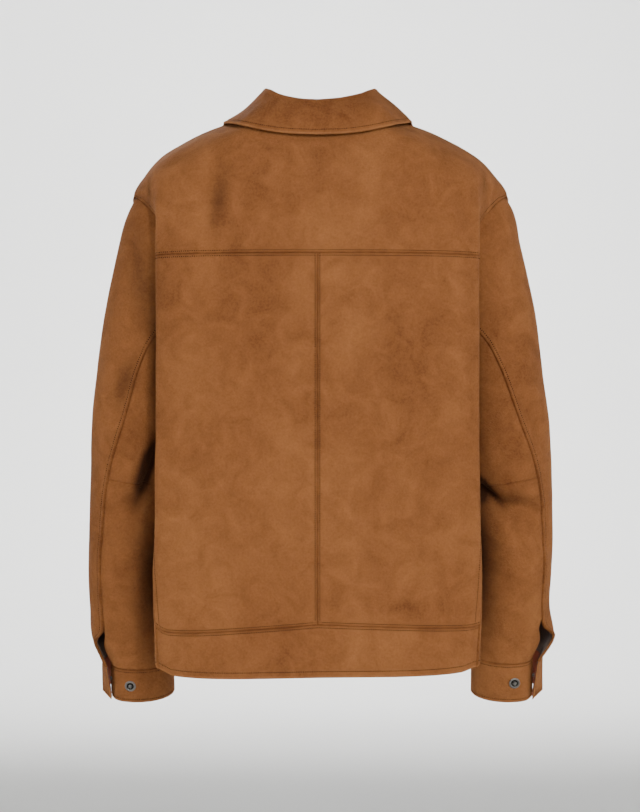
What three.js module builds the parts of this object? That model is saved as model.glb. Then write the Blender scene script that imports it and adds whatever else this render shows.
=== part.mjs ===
// A nubuck blouson jacket, hollow and filled out as if worn, built from the panels a maker would cut.
// Millimetres, +Z up. The wearer faces -Y, so the back of the jacket faces +Y and the wearer's left is +X.
// The origin is the middle of the neck, level with the points where the shoulder seams meet the collar.
import * as THREE from "three";

const CLOTH = 2; // wall of one panel, nubuck on its backing
const FOLDED = 2.6; // wall of the collar, which is sewn double
const LINING = 1; // wall of the vents' lining and of the cuffs' smooth facing
const GAP = 0.3; // between two pieces at a seam
const NUBUCK = 0x9a5f35;
const FACING_TAN = 0x8a3f24;
const LINING_BROWN = 0x5c4a42;
const GUNMETAL = 0x8b8782;

// The two sides of the garment. Lean is how far the sleeve hangs out (+) or in (-) of the even pair.
const SIDES = {
  left: {
    name: "left", sign: 1, lean: -1, hemSag: 2.5, hemSide: -667, hemTurn: 0.25, bandSag: 10,
    collarLean: -3, collarDip: -4, sleeveRise: 0, seamTurn: 4,
    underEnd: 10, cuffHigh: 41, flapTop: -14, flapFoot: -25,
    ventNarrow: 0.5, ventFlare: 0,
  },
  right: {
    name: "right", sign: -1, lean: 1, hemSag: -1, hemSide: -665, hemTurn: 0.25, bandSag: 4,
    collarLean: 4, collarDip: 0, sleeveRise: 7, seamTurn: -5,
    underEnd: 20, cuffHigh: 48, flapTop: -14, flapFoot: -29,
    ventNarrow: 0.55, ventFlare: 8,
  },
};

// ---------------------------------------------------------------- the torso, as level sections
// Half a section from centre back to centre front. Crest: where the back turns forward; tuck: the hollow
// behind it; edge: the shoulder ridge above the armhole, and the flank under it; side, corner: the front.
const TORSO = table(
  "z     backY crestX crestY tuckX tuckY edgeX edgeY sideX sideY cornerX cornerY frontY", [
  [0,      58,   66,    31,    75,   16,   80,    0,    73,  -18,    60,    -34,    -58],
  [-15,    66,  101,    40,   117,   22,  127,    0,   110,  -26,    88,    -46,    -69],
  [-30,    75,  133,    48,   150,   27,  159,    0,   138,  -32,   108,    -56,    -78],
  [-50,    85,  162,    59,   182,   34,  192,    1,   167,  -38,   130,    -66,    -88],
  [-72,    92,  182,    68,   199,   46,  212,    2,   185,  -43,   146,    -75,    -96],
  [-97,    98,  191,    72,   199,   54,  226,    4,   202,  -47,   158,    -82,   -103],
  [-140,  103,  194,    74,   192,   60,  208,    4,   194,  -70,   158,    -92,   -111],
  [-190,  105,  194,    76,   187,   63,  180,    0,   176,  -84,   146,   -101,   -117],
  [-240,  105,  194,    76,   184,   62,  160,  -10,   160,  -82,   136,   -104,   -120],
  [-290,  103,  194,    75,   181,   60,  150,  -22,   150,  -66,   130,   -102,   -121],
  [-340,  101,  194,    75,   180,   57,  142,  -22,   143,  -64,   127,   -100,   -120],
  [-400,   98,  194,    74,   180,   54,  140,  -22,   141,  -64,   125,    -98,   -118],
  [-480,   95,  195,    72,   181,   50,  140,  -22,   141,  -64,   124,    -97,   -116],
  [-580,   93,  196,    66,   184,   42,  147,  -24,   144,  -66,   123,    -97,   -115],
  [-690,   94,  195,    52,   184,   26,  154,  -26,   144,  -68,   120,    -98,   -115],
]);
const CREST_Q = 3;
const EDGE_Q = 5; // the armhole, and the flank below it
const FRONT_Q = 9; // centre front
const CREST_U = CREST_Q / EDGE_Q;
const BLADE = { across: 0.48, drop: 0.05 };
const TURN = { across: 0.82, drop: 0.3 };
const CHEST = { across: 0.55, drop: 0.14 };

const ARM_TOP = -97;
const ARM_PIT = -290;
const ARM_ENDS = 3; // height over which the back and the front of the armhole share their cut
const SHOULDER_LEAN = 4; // how far the armhole's top moves with the sleeve's lean
const NECK_BACK = -15; // centre back of the neckline
const NECK_FRONT = -80;
const NECK_HALF = 77;
const NECK_END = 0; // where the neckline meets the shoulder seam
const PLACKET_HALF = 18; // the upper placket's half width; it covers the centre front
const PLACKET_SPREAD = 8; // how far the lower placket reaches past it on the wearer's right
const PLACKET_SHY = 1; // and how far it stays inside it on the left
const PLACKET_UNDER = 1; // room between the two plackets

// The side seam runs from the armpit, behind the fold, to the back face at the hem (q as in the sections).
const SIDE_SEAM = table("z q", [
  [-290, 5],
  [-350, 4.45],
  [-430, 3.9],
  [-510, 3.4],
  [-575, 3.02],
  [-620, 2.86],
  [-690, 2.7],
]);

// ---------------------------------------------------------------- the sleeve, as slanting rings
// Out and in are the ring's outermost and innermost points. HalfY is half its depth round centreY; backX and
// frontX move the back and front of the ring sideways; drop lowers its back and lifts its front.
const SLEEVE = table(
  "t  outX outY outZ  inX inY inZ   centreY halfY backX frontX drop lean", [
  [0,  226,   4,  -97, 150, -22, -290,   -12,   56,  -33,    4,    0,  4],
  [1,  238,   1, -126, 158, -23, -298,   -14,   55,  -20,    3,    0,  4],
  [2,  246,  -3, -160, 162, -24, -309,   -16,   56,  -10,    2,    1,  3],
  [3,  257,  -7, -206, 165, -25, -326,   -18,   57,   -4,    1,    2,  3],
  [4,  266, -11, -256, 167, -26, -348,   -20,   57,    0,    0,    4,  3],
  [5,  273, -15, -311, 168, -28, -374,   -22,   56,    0,    0,    6,  3],
  [6,  280, -20, -370, 169, -31, -408,   -25,   54,    0,    0,    8,  4],
  [7,  283, -26, -430, 170, -35, -446,   -29,   51,    0,    0,    8,  4],
  [8,  285, -33, -490, 172, -41, -494,   -36,   47,    0,    0,    9,  4],
  [9,  286, -41, -550, 176, -48, -550,   -44,   43,    0,    0,   10,  3],
  [10, 284, -49, -600, 181, -55, -600,   -52,   39,    0,    0,   11,  3],
  [11, 285, -56, -636, 184, -61, -636,   -58,   37,    0,    0,   12,  6],
  [12, 273, -61, -664, 184, -65, -664,   -63,   35,    0,    0,   12,  6],
]);
const SLEEVE_END = 12;
const CAP_INSET = 1.1; // the sleeve head tucks in under the body's edge
const CAP_INSET_END = 0.6;
const ELBOW_T = 7; // the join across the undersleeve
const VENT_T = 10.45; // top of the vent
const VENT_WIDEST = 11.15; // where the vent's free edge stands furthest open
const VENT_REACH = 0.94; // share of the flap that the upper sleeve's edge follows
const TUCK = 10.5; // how far inwards the undersleeve and the cuff pass under the flap
const TUCK_END = 72; // degrees at which that tuck has died away
const TUCK_RISE = 0.3; // over which t, before and past the vent's top, it grows

// The sleeve's back and front seams, in degrees round the ring from its outermost point over the back.
const SLEEVE_SEAMS = table("t back front", [
  [0, 122, -120],
  [3, 95, -124],
  [4, 88, -126],
  [5, 78, -126],
  [6, 66, -126],
  [7, 52, -126],
  [8, 42, -126],
  [9, 43, -126],
  [12, 44, -126],
]);

// The sleeve's largest folds: soft troughs over its surface, from (t, angle) to (t, angle).
const SLEEVE_FOLDS = [
  { name: "elbow", fromT: 6.9, fromAngle: 152, toT: 8.05, toAngle: 52, depth: 13, wide: 0.42 },
  { name: "elbow_low", fromT: 8.1, fromAngle: 168, toT: 9.1, toAngle: 108, depth: 7, wide: 0.4 },
  { name: "upper", fromT: 5.2, fromAngle: 68, toT: 6.35, toAngle: 28, depth: 4, wide: 0.34 },
  { name: "front_elbow", fromT: 6.6, fromAngle: -60, toT: 7.3, toAngle: -150, depth: 9, wide: 0.4 },
  { name: "front_low", fromT: 7.9, fromAngle: -40, toT: 8.3, toAngle: -130, depth: 6, wide: 0.36 },
];
const FOLD_ANGLE_SCALE = 52; // degrees round the sleeve that count as one step of t

// ---------------------------------------------------------------- cuffs, collar, fastenings
const CUFF_SLANT = 12; // how far the cuff's lower edge lies forward of its upper one
const FLAP_LONG = 27;
const FLAP_DROP = 0.33; // fall of the flap along its length, square to the tilted forearm
const FLAP_ROWS = 3;
const FACING = { top: 0.08, foot: 0.94, endGap: 8 }; // the facing's reach over the cuff's height, and its end
const LINING_SPAN = { from: 0.1, to: 0.94, top: 10.6, foot: 11.7, under: 1.3 }; // over the free edge, in t


const STAND_CLEAR = 1.8; // between the stand's lower edge and the neckline
const COLLAR_ROLL = 5.4;
const COLLAR_ROLL_DROP = 5;
const BULGE_RISE = 0.6; // how far the fall's bulge also lifts it
const COLLAR = table(
  "w    neck   foldX foldY foldZ  edgeX edgeZ  lift bulge", [
  [0,    0,       0,   64,   17,     0,  -31,    8,    4],
  [0.14, 0.75,   25,   61,   19,    44,  -28,    7,    4],
  [0.28, 1.75,   48,   50,   25,    84,  -20,    6,    4],
  [0.4,  3.2,    61,   29,   32,   107,  -13,    5,    1],
  [0.5,  5,      67,    3,   35,   114,  -11,    5,    1],
  [0.62, 5.73,   66,  -22,   26,   118,  -24,    5,    2],
  [0.76, 6.85,   60,  -54,    5,   110,  -52,    6,    4],
  [0.9,  8.15,   50,  -84,  -28,    88,  -92,    7,    5],
  [1,    8.96,    9,  -94,  -54,    58, -116,    6,    4],
]);
const COLLAR_SIDE_W = 0.5; // where the collar passes the shoulder seam
const NECK_TURN = 5.3; // the neckline's place where it leaves the shoulder seam for the front
const COLLAR_FRONT_GAP = 3;

const YOKE_MIDDLE = -169; // the yoke's lower edge at centre back
const BAND_SEAM = { middle: -612.5, side: -613.5 };
const HEM = { back: -675.5, front: -668 };
const HEM_REACH = 130; // how far up the front panel its hem's fall is spread
const HEM_RISE = { height: 8, from: 2.7, to: 3.3 }; // of the front panel's hem, over q, towards its crest

const FRONT_SNAPS = { count: 6, top: -104, step: -106 };
const CUFF_SOCKET = { angle: 80, share: 0.49 }; // degrees round the cuff, and share of its height
const CUFF_BALL = { fromEnd: 6, share: 0.42 }; // from the flap's free end
const SNAP_SIDES = 12;

// The studs' profiles, as [radius, height].
const SOCKET = [
  [0, 0], [6.6, 0], [6.6, 0.7], [6.1, 1.2], [4, 1.4], [3.6, 0.8], [2.2, 0.8], [2, 2], [1.2, 2.6], [0, 2.6],
];
const BALL = [[0, 0], [4.8, 0], [4.8, 0.8], [3, 1.2], [2, 1.8], [2.4, 2.9], [1.9, 3.6], [0, 3.6]];
const CAP = [[0, 0], [7.4, 0], [7.4, 0.8], [6.6, 1.7], [4, 2.4], [0, 2.7]];

const SHARPEST = 0.5; // least cosine between a wall and the direction in which its edge is cut

// ---------------------------------------------------------------- small tools
// A table with named columns: its rows become objects, ordered by their first column.
function table(names, rows) {
  const keys = names.trim().split(/\s+/);
  const made = rows.map((row) => Object.fromEntries(keys.map((key, i) => [key, row[i]])));
  made.sort((a, b) => a[keys[0]] - b[keys[0]]);
  made.key = keys[0];
  made.columns = keys.slice(1);
  return made;
}

// The table's row at any value of its first column, smooth through the rows given.
function rowAt(rows, at) {
  const key = rows.key;
  const last = rows.length - 1;
  const x = THREE.MathUtils.clamp(at, rows[0][key], rows[last][key]);
  let i = 0;
  while (i < last - 1 && rows[i + 1][key] < x) i++;
  const before = rows[Math.max(i - 1, 0)];
  const low = rows[i];
  const high = rows[i + 1];
  const after = rows[Math.min(i + 2, last)];
  const span = high[key] - low[key];
  const s = (x - low[key]) / span;
  const made = { [key]: x };
  for (const column of rows.columns) {
    const slopeLow = (high[column] - before[column]) / (high[key] - before[key]);
    const slopeHigh = (after[column] - low[column]) / (after[key] - low[key]);
    made[column] = hermite(low[column], high[column], slopeLow * span, slopeHigh * span, s);
  }
  return made;
}

function hermite(a, b, slopeA, slopeB, s) {
  const s2 = s * s;
  const s3 = s2 * s;
  return (2 * s3 - 3 * s2 + 1) * a + (s3 - 2 * s2 + s) * slopeA
    + (3 * s2 - 2 * s3) * b + (s3 - s2) * slopeB;
}

// A point on the smooth curve through points[1] to points[n - 2], at q counted in points from points[1].
function onSpline(points, q) {
  const i = THREE.MathUtils.clamp(Math.floor(q), 0, points.length - 4);
  const [a, b, c, d] = points.slice(i, i + 4);
  const steps = [a.distanceTo(b), b.distanceTo(c), c.distanceTo(d)].map((far) => Math.sqrt(far) + 1e-6);
  const slope = (p, r, n, before, after) =>
    r.clone().sub(p).divideScalar(before)
      .sub(n.clone().sub(p).divideScalar(before + after))
      .add(n.clone().sub(r).divideScalar(after))
      .multiplyScalar(steps[1]);
  const slopeB = slope(a, b, c, steps[0], steps[1]);
  const slopeC = slope(b, c, d, steps[1], steps[2]);
  const s = q - i;
  return new THREE.Vector3(
    hermite(b.x, c.x, slopeB.x, slopeC.x, s),
    hermite(b.y, c.y, slopeB.y, slopeC.y, s),
    hermite(b.z, c.z, slopeB.z, slopeC.z, s),
  );
}

const vec = (x, y, z) => new THREE.Vector3(x, y, z);
const mix = (a, b, s) => a + (b - a) * s;
const soft = (low, high, x) => THREE.MathUtils.smoothstep(x, low, high);
const steps = (from, to, count) => Array.from({ length: count + 1 }, (_, i) => mix(from, to, i / count));
const beyond = (a, b) => b.clone().multiplyScalar(2).sub(a); // b's far neighbour, straight on from a

// A wall of cloth. Surface(u, v) is its outer face; the points of us and vs are its grid; outward is +1 or
// -1, the way its outer face looks; raise moves the whole wall out; gaps are left at its four edges.
// Shared(u, v) may give the direction in which the wall of an edge is cut, where two pieces meet at an angle.
function cloth(name, colour, surface, us, vs, options = {}) {
  const { outward = 1, thick = CLOTH, raise = 0, gaps = [1, 1, 1, 1], shared = () => null } = options;
  const eps = 1e-3;
  const uSpan = us[us.length - 1] - us[0];
  const vSpan = vs[vs.length - 1] - vs[0];
  const grid = us.map((u) => vs.map((v) => {
    const alongU = surface(u + eps * uSpan, v).sub(surface(u - eps * uSpan, v));
    const alongV = surface(u, v + eps * vSpan).sub(surface(u, v - eps * vSpan));
    const normal = alongU.cross(alongV).normalize().multiplyScalar(outward);
    const way = shared(u, v) ?? normal;
    return { at: surface(u, v), way: way.clone().divideScalar(Math.max(way.dot(normal), SHARPEST)) };
  }));
  const nu = us.length;
  const nv = vs.length;
  const pull = (i, j, toI, toJ, share) => {
    const way = grid[toI][toJ].at.clone().sub(grid[i][j].at).normalize();
    return way.multiplyScalar((share * GAP) / 2);
  };
  const moved = grid.map((line, i) => line.map((point, j) => {
    const at = point.at.clone();
    if (i === 0) at.add(pull(i, j, 1, j, gaps[0]));
    if (i === nu - 1) at.add(pull(i, j, nu - 2, j, gaps[1]));
    if (j === 0) at.add(pull(i, j, i, 1, gaps[2]));
    if (j === nv - 1) at.add(pull(i, j, i, nv - 2, gaps[3]));
    return at;
  }));
  const positions = [];
  for (const depth of [raise, raise - thick])
    for (let i = 0; i < nu; i++)
      for (let j = 0; j < nv; j++)
        positions.push(...moved[i][j].clone().addScaledVector(grid[i][j].way, depth).toArray());
  const outer = (i, j) => i * nv + j;
  const inner = (i, j) => nu * nv + i * nv + j;
  const faces = [];
  const quad = (a, b, c, d) => faces.push(a, b, c, a, c, d);
  for (let i = 0; i < nu - 1; i++)
    for (let j = 0; j < nv - 1; j++) {
      quad(outer(i, j), outer(i + 1, j), outer(i + 1, j + 1), outer(i, j + 1));
      quad(inner(i, j), inner(i, j + 1), inner(i + 1, j + 1), inner(i + 1, j));
    }
  for (let i = 0; i < nu - 1; i++) {
    quad(outer(i, 0), inner(i, 0), inner(i + 1, 0), outer(i + 1, 0));
    quad(outer(i, nv - 1), outer(i + 1, nv - 1), inner(i + 1, nv - 1), inner(i, nv - 1));
  }
  for (let j = 0; j < nv - 1; j++) {
    quad(outer(0, j), outer(0, j + 1), inner(0, j + 1), inner(0, j));
    quad(outer(nu - 1, j), inner(nu - 1, j), inner(nu - 1, j + 1), outer(nu - 1, j + 1));
  }
  return solid(name, colour, positions, faces);
}

// A named mesh of these points and triangles, turned so that its faces look outwards.
function solid(name, colour, positions, faces) {
  const point = (i) => vec(positions[3 * i], positions[3 * i + 1], positions[3 * i + 2]);
  let volume = 0;
  for (let i = 0; i < faces.length; i += 3)
    volume += point(faces[i]).dot(point(faces[i + 1]).cross(point(faces[i + 2])));
  if (volume < 0)
    for (let i = 0; i < faces.length; i += 3) [faces[i + 1], faces[i + 2]] = [faces[i + 2], faces[i + 1]];
  const geometry = new THREE.BufferGeometry();
  geometry.setAttribute("position", new THREE.Float32BufferAttribute(positions, 3));
  geometry.setIndex(faces);
  geometry.computeVertexNormals();
  const material = new THREE.MeshStandardMaterial({ color: colour, roughness: 0.95, metalness: 0 });
  const mesh = new THREE.Mesh(geometry, material);
  mesh.name = name;
  return mesh;
}

// ---------------------------------------------------------------- surfaces
// The angles of a sleeve's two seams at t.
function sleeveSeams(side, t) {
  const { back, front } = rowAt(SLEEVE_SEAMS, t);
  return { back: back + side.seamTurn * soft(2.5, 7.5, t), front };
}

// The ring of a sleeve at t, as its centre and the points that shape it.
function sleeveRow(side, t) {
  const row = rowAt(SLEEVE, t);
  const lean = side.lean * row.lean;
  const rise = side.sleeveRise * soft(ELBOW_T, SLEEVE_END, t);
  const out = vec(row.outX + lean, row.outY, row.outZ + rise);
  const inner = vec(row.inX + lean * soft(ELBOW_T, SLEEVE_END, t), row.inY, row.inZ + rise);
  const middle = out.clone().add(inner).multiplyScalar(0.5);
  const back = vec(middle.x + row.backX, row.centreY + row.halfY, middle.z - row.drop);
  const front = vec(middle.x + row.frontX, row.centreY - row.halfY, middle.z + row.drop);
  return { out, inner, middle, back, front };
}

// A point of the sleeve's ring, before folds. Angle 0 is its outermost point and 90 its back.
function sleeveRing(side, t, angle) {
  const { out, inner, middle, back, front } = sleeveRow(side, t);
  const c = Math.cos(THREE.MathUtils.degToRad(angle));
  const s = Math.sin(THREE.MathUtils.degToRad(angle));
  const across = back.clone().add(front).multiplyScalar(0.5);
  return middle.multiplyScalar(c * c)
    .add(across.multiplyScalar(s * s))
    .add(out.sub(inner).multiplyScalar(0.5 * c))
    .add(back.sub(front).multiplyScalar(0.5 * s));
}

// How deep the folds are at a place on the sleeve.
function foldDepth(t, angle) {
  let depth = 0;
  for (const fold of SLEEVE_FOLDS) {
    const alongT = fold.toT - fold.fromT;
    const alongA = (fold.toAngle - fold.fromAngle) / FOLD_ANGLE_SCALE;
    const dT = t - fold.fromT;
    const dA = (angle - fold.fromAngle) / FOLD_ANGLE_SCALE;
    const share = (dT * alongT + dA * alongA) / (alongT * alongT + alongA * alongA);
    const s = THREE.MathUtils.clamp(share, 0, 1);
    const off = Math.hypot(dT - s * alongT, dA - s * alongA);
    depth += fold.depth * Math.sin(Math.PI * mix(0.14, 0.9, s)) * Math.exp(-((off / fold.wide) ** 2));
  }
  return depth;
}

// The plan way that the cuff's flap stands at a height: share 0 is the cuff's upper edge, 1 its lower one.
function flapWay(side, share) {
  const turn = THREE.MathUtils.degToRad(mix(side.flapTop, side.flapFoot, share));
  return vec(Math.sin(turn), Math.cos(turn), -FLAP_DROP);
}

// The sleeve's outer face, on the +X side, with its folds and its tucked-in head.
function sleevePoint(side, t, angle) {
  const ring = sleeveRing(side, t, angle);
  const { middle } = sleeveRow(side, t);
  const folds = foldDepth(t, angle) + foldDepth(t, angle - 360);
  const inset = CAP_INSET * (1 - soft(0, CAP_INSET_END, t)) + folds;
  const inwards = middle.sub(ring);
  inwards.z *= 0.3;
  return ring.addScaledVector(inwards.normalize(), inset);
}

// 1 where the vent's free edge stands furthest open, and 0 at the vent's two ends.
const ventShape = (t) => soft(VENT_T, VENT_WIDEST, t) * (1 - soft(VENT_WIDEST, SLEEVE_END, t));

// The angle of the upper sleeve's back edge: its seam, and the vent's free edge below that.
const upperEdge = (side, t) => sleeveSeams(side, t).back * (1 - side.ventNarrow * ventShape(t));

// The angle of the undersleeve's back edge: its seam, and then on to the end of the cuff's underlap.
const underEdge = (side, t) => mix(sleeveSeams(side, t).back, side.underEnd, soft(VENT_T, SLEEVE_END, t));

// The upper sleeve parts from the ring below the vent's top and follows the cuff's flap.
function upperSleevePoint(side, t, angle) {
  const at = sleevePoint(side, t, angle);
  if (angle <= 0) return at;
  const share = angle / sleeveSeams(side, t).back;
  const outwards = at.clone().sub(sleeveRow(side, t).middle).setZ(0).normalize();
  const along = flapWay(side, 0).multiplyScalar(VENT_REACH * FLAP_LONG * share);
  at.lerp(sleeveRing(side, t, 0).add(along), soft(VENT_T, SLEEVE_END, t));
  return at.addScaledVector(outwards, side.ventFlare * ventShape(t) * share);
}

// The undersleeve and the cuff pass under the flap beside the vent.
function underSleevePoint(side, t, angle) {
  const at = sleevePoint(side, t, angle);
  const inwards = sleeveRow(side, t).middle.sub(at).setZ(0).normalize();
  const grown = soft(VENT_T - TUCK_RISE, VENT_T + TUCK_RISE, t);
  return at.addScaledVector(inwards, TUCK * grown * (1 - soft(side.underEnd, TUCK_END, angle)));
}

// The armhole's edge at a height: the sleeve's first ring, closed form because it doesn't drop.
function armholeEdge(side, z, isBack) {
  const { out, inner } = sleeveRow(side, 0);
  const middle = (out.z + inner.z) / 2;
  const c = THREE.MathUtils.clamp((z - middle) / (out.z - middle), -1, 1);
  const angle = THREE.MathUtils.radToDeg(Math.acos(c));
  return sleeveRing(side, 0, isBack ? angle : -angle);
}

// The torso's outer face on the +X side: q runs from 0, centre back, to 9, centre front.
function torsoPoint(side, q, z, isBack = q < EDGE_Q) {
  const row = rowAt(TORSO, z);
  const back = row.backY - row.crestY;
  const front = row.cornerY - row.frontY;
  const lean = z > ARM_PIT ? side.lean * SHOULDER_LEAN * (1 - soft(ARM_TOP, NECK_END, z)) : 0;
  const blade = vec(BLADE.across * row.crestX, row.backY - BLADE.drop * back, z);
  const turn = vec(TURN.across * row.crestX, row.backY - TURN.drop * back, z);
  const chest = vec(CHEST.across * row.cornerX, row.frontY + CHEST.drop * front, z);
  const behind = [
    vec(-blade.x, blade.y, z), vec(0, row.backY, z), blade, turn,
    vec(row.crestX, row.crestY, z), vec(row.tuckX, row.tuckY, z),
  ];
  const ahead = [
    vec(row.sideX, row.sideY, z), vec(row.cornerX, row.cornerY, z), chest,
    vec(0, row.frontY, z), vec(-chest.x, chest.y, z),
  ];
  if (z >= ARM_TOP || z <= ARM_PIT)
    return onSpline([...behind, vec(row.edgeX + lean, row.edgeY, z), ...ahead], q);
  const edge = armholeEdge(side, z, isBack);
  if (isBack) return onSpline([...behind, edge, beyond(behind[5], edge)], Math.min(q, EDGE_Q));
  return onSpline([beyond(ahead[0], edge), edge, ...ahead], Math.max(q, EDGE_Q) - EDGE_Q);
}

const mirrored = (side, at) => {
  at.x *= side.sign;
  return at;
};

// The q at which the front's section reaches a distance x from the centre line.
function frontQ(side, x, z) {
  let low = EDGE_Q;
  let high = FRONT_Q;
  for (let i = 0; i < 22; i++) {
    const middle = (low + high) / 2;
    if (torsoPoint(side, middle, z, false).x > x) low = middle;
    else high = middle;
  }
  return (low + high) / 2;
}

// The height of the armhole's edge at an angle round it: 0 is its top and 180 the armpit.
const armZ = (angle) => mix(ARM_PIT, ARM_TOP, (1 + Math.cos(THREE.MathUtils.degToRad(angle))) / 2);

// The direction shared by the walls of body and sleeve where they meet round the armhole. At its top and
// at the armpit the back and the front share it too.
function armholeWay(side, z, isBack) {
  const at = THREE.MathUtils.clamp(z, ARM_PIT + ARM_ENDS, ARM_TOP - ARM_ENDS);
  const turn = THREE.MathUtils.radToDeg(Math.acos((2 * (at - ARM_PIT)) / (ARM_TOP - ARM_PIT) - 1));
  const facing = (back) => {
    const q = EDGE_Q + (back ? -0.1 : 0.1);
    const angle = back ? turn : -turn;
    const body = torsoPoint(side, q + 0.05, at, back).sub(torsoPoint(side, q - 0.05, at, back))
      .cross(torsoPoint(side, q, at - 1, back).sub(torsoPoint(side, q, at + 1, back)));
    const sleeve = sleeveRing(side, 0.4, angle + 2).sub(sleeveRing(side, 0.4, angle - 2))
      .cross(sleeveRing(side, 0.2, angle).sub(sleeveRing(side, 0.6, angle)));
    return body.normalize().add(sleeve.normalize()).normalize();
  };
  const way = facing(isBack);
  if (z > ARM_TOP - ARM_ENDS || z < ARM_PIT + ARM_ENDS) way.add(facing(!isBack)).normalize();
  return mirrored(side, way);
}

const YOKE_ANGLE = 80; // where the yoke seam meets the armhole
const SEAM = { yokeSide: armZ(YOKE_ANGLE) };
const seamQ = (z) => rowAt(SIDE_SEAM, z).q;
const neckBackZ = (q) => mix(NECK_BACK, NECK_END, 1 - (1 - q / EDGE_Q) ** 1.5);
const neckFrontX = (z) => NECK_HALF * Math.sqrt(1 - THREE.MathUtils.clamp(z / NECK_FRONT, 0, 1) ** 2.2);
const neckFrontZ = (x) => NECK_FRONT * (1 - (x / NECK_HALF) ** 2) ** (1 / 2.2);
const frontInnerX = (z) => Math.max(PLACKET_HALF, neckFrontX(z));
const yokeZ = (q) => mix(YOKE_MIDDLE, SEAM.yokeSide, (q / EDGE_Q) ** 2);

// The q of a share u of the back, from centre back to its side seam; CREST_U of it lies behind the crest.
function backQ(u, seam) {
  const crest = Math.min(CREST_Q, 0.84 * seam);
  return u < CREST_U ? (u / CREST_U) * crest : mix(crest, seam, (u - CREST_U) / (1 - CREST_U));
}

// The band seam and the hem of the back, with u from 0 at centre back to 1 at the side seam.
const bandZ = (side, u) => mix(BAND_SEAM.middle, BAND_SEAM.side, u) - side.bandSag * Math.sin(Math.PI * u);
const hemZ = (side, u) => mix(HEM.back, side.hemSide, soft(side.hemTurn, 1.05, u))
  - side.hemSag * Math.sin(Math.PI * Math.min(u, 1));

// Columns of points across half of the back, and the heights of the rows at its side.
const backQs = [0, 0.8, 1.5, 2.1, 2.6, 3, 3.4, 3.8, 4.2, 4.6, EDGE_Q];
const bothHalves = (list) => [...list.slice(1).reverse().map((q) => -q), ...list];
const lowRows = steps(BAND_SEAM.side, ARM_PIT, 8);
const armRows = [172, 162, 152, 138, 124, 110, 95, YOKE_ANGLE].map(armZ);
const topRows = [66, 52, 38, 25, 12, 0].map(armZ);
const neckRows = [-88, neckFrontZ(PLACKET_HALF), -76];
const shoulderRows = [-72, -50, -30, -15, NECK_END];

// ---------------------------------------------------------------- the body
function backYoke() {
  const rows = [SEAM.yokeSide, ...topRows, -84, ...shoulderRows];
  const vs = rows.map((z) => (z - SEAM.yokeSide) / (NECK_END - SEAM.yokeSide));
  const sideOf = (q) => (q < 0 ? SIDES.right : SIDES.left);
  const face = (q, v) => {
    const a = Math.min(Math.abs(q), EDGE_Q);
    return mirrored(sideOf(q), torsoPoint(sideOf(q), a, mix(yokeZ(a), neckBackZ(a), v), true));
  };
  const shared = (q, v) => {
    const z = mix(SEAM.yokeSide, NECK_END, v);
    return Math.abs(q) < EDGE_Q || z > ARM_TOP + 1 ? null : armholeWay(sideOf(q), z, true);
  };
  const gaps = [1, 1, 4, 1];
  return cloth("back_yoke", NUBUCK, face, bothHalves(backQs), vs, { outward: -1, gaps, shared });
}

function backPanel(side) {
  const rows = [...lowRows, ...armRows];
  const vs = rows.map((z) => (z - BAND_SEAM.side) / (SEAM.yokeSide - BAND_SEAM.side));
  const sideZ = (v) => mix(BAND_SEAM.side, SEAM.yokeSide, v);
  const face = (u, v) => {
    const q = backQ(Math.max(u, 0), seamQ(sideZ(v)));
    return mirrored(side, torsoPoint(side, q, mix(bandZ(side, u), yokeZ(u * EDGE_Q), v), true));
  };
  const shared = (u, v) => (u < 1 || sideZ(v) < ARM_PIT - 1 ? null : armholeWay(side, sideZ(v), true));
  const us = backQs.map((q) => q / EDGE_Q);
  const gaps = [1, 1, 1, 2];
  return cloth(`back_${side.name}`, NUBUCK, face, us, vs, { outward: -side.sign, gaps, shared });
}

function backBand() {
  const face = (u, v) => {
    const side = u < 0 ? SIDES.right : SIDES.left;
    const a = Math.abs(u);
    const q = backQ(Math.min(a, 1), seamQ(mix(hemZ(side, 1), BAND_SEAM.side, v)));
    return mirrored(side, torsoPoint(side, q, mix(hemZ(side, a), bandZ(side, a), v), true));
  };
  const us = bothHalves(backQs.map((q) => q / EDGE_Q));
  return cloth("back_band", NUBUCK, face, us, steps(0, 1, 3), { outward: -1 });
}

function frontPanel(side) {
  const hemEnd = hemZ(side, 1);
  const lower = [...steps(hemEnd, BAND_SEAM.side, 3), ...lowRows.slice(1)];
  const rows = [...lower, ...armRows, ...topRows, ...neckRows, ...shoulderRows];
  const face = (u, z) => {
    const q = mix(seamQ(z), frontQ(side, frontInnerX(z), z), Math.max(u, 0));
    const fall = soft(EDGE_Q, FRONT_Q, q);
    const rise = HEM_RISE.height * soft(HEM_RISE.from, HEM_RISE.to, q) * (1 - fall);
    const hem = mix(hemEnd, HEM.front, fall) + rise;
    const at = z + (hem - hemEnd) * (1 - soft(hemEnd, hemEnd + HEM_REACH, z));
    return mirrored(side, torsoPoint(side, q, at, q < EDGE_Q));
  };
  const isArm = (u, z) => u === 0 && z > ARM_PIT - 1 && z < ARM_TOP + 1;
  const shared = (u, z) => (isArm(u, z) ? armholeWay(side, z, false) : null);
  const us = [0, 0.08, 0.16, 0.25, 0.34, 0.44, 0.57, 0.71, 0.86, 1];
  return cloth(`front_${side.name}`, NUBUCK, face, us, rows, { outward: -side.sign, shared });
}

// A strip of the front between two distances from the centre line, from the hem to under the collar.
function frontStrip(name, fromX, toX, raise) {
  const face = (u, v) => {
    const x = mix(fromX, toX, u);
    const side = x < 0 ? SIDES.right : SIDES.left;
    const z = mix(HEM.front, neckFrontZ(x) + raise, v);
    return mirrored(side, torsoPoint(side, frontQ(side, Math.abs(x), z), z, false));
  };
  return cloth(name, NUBUCK, face, steps(0, 1, 4), steps(0, 1, 16), { raise });
}

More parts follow.
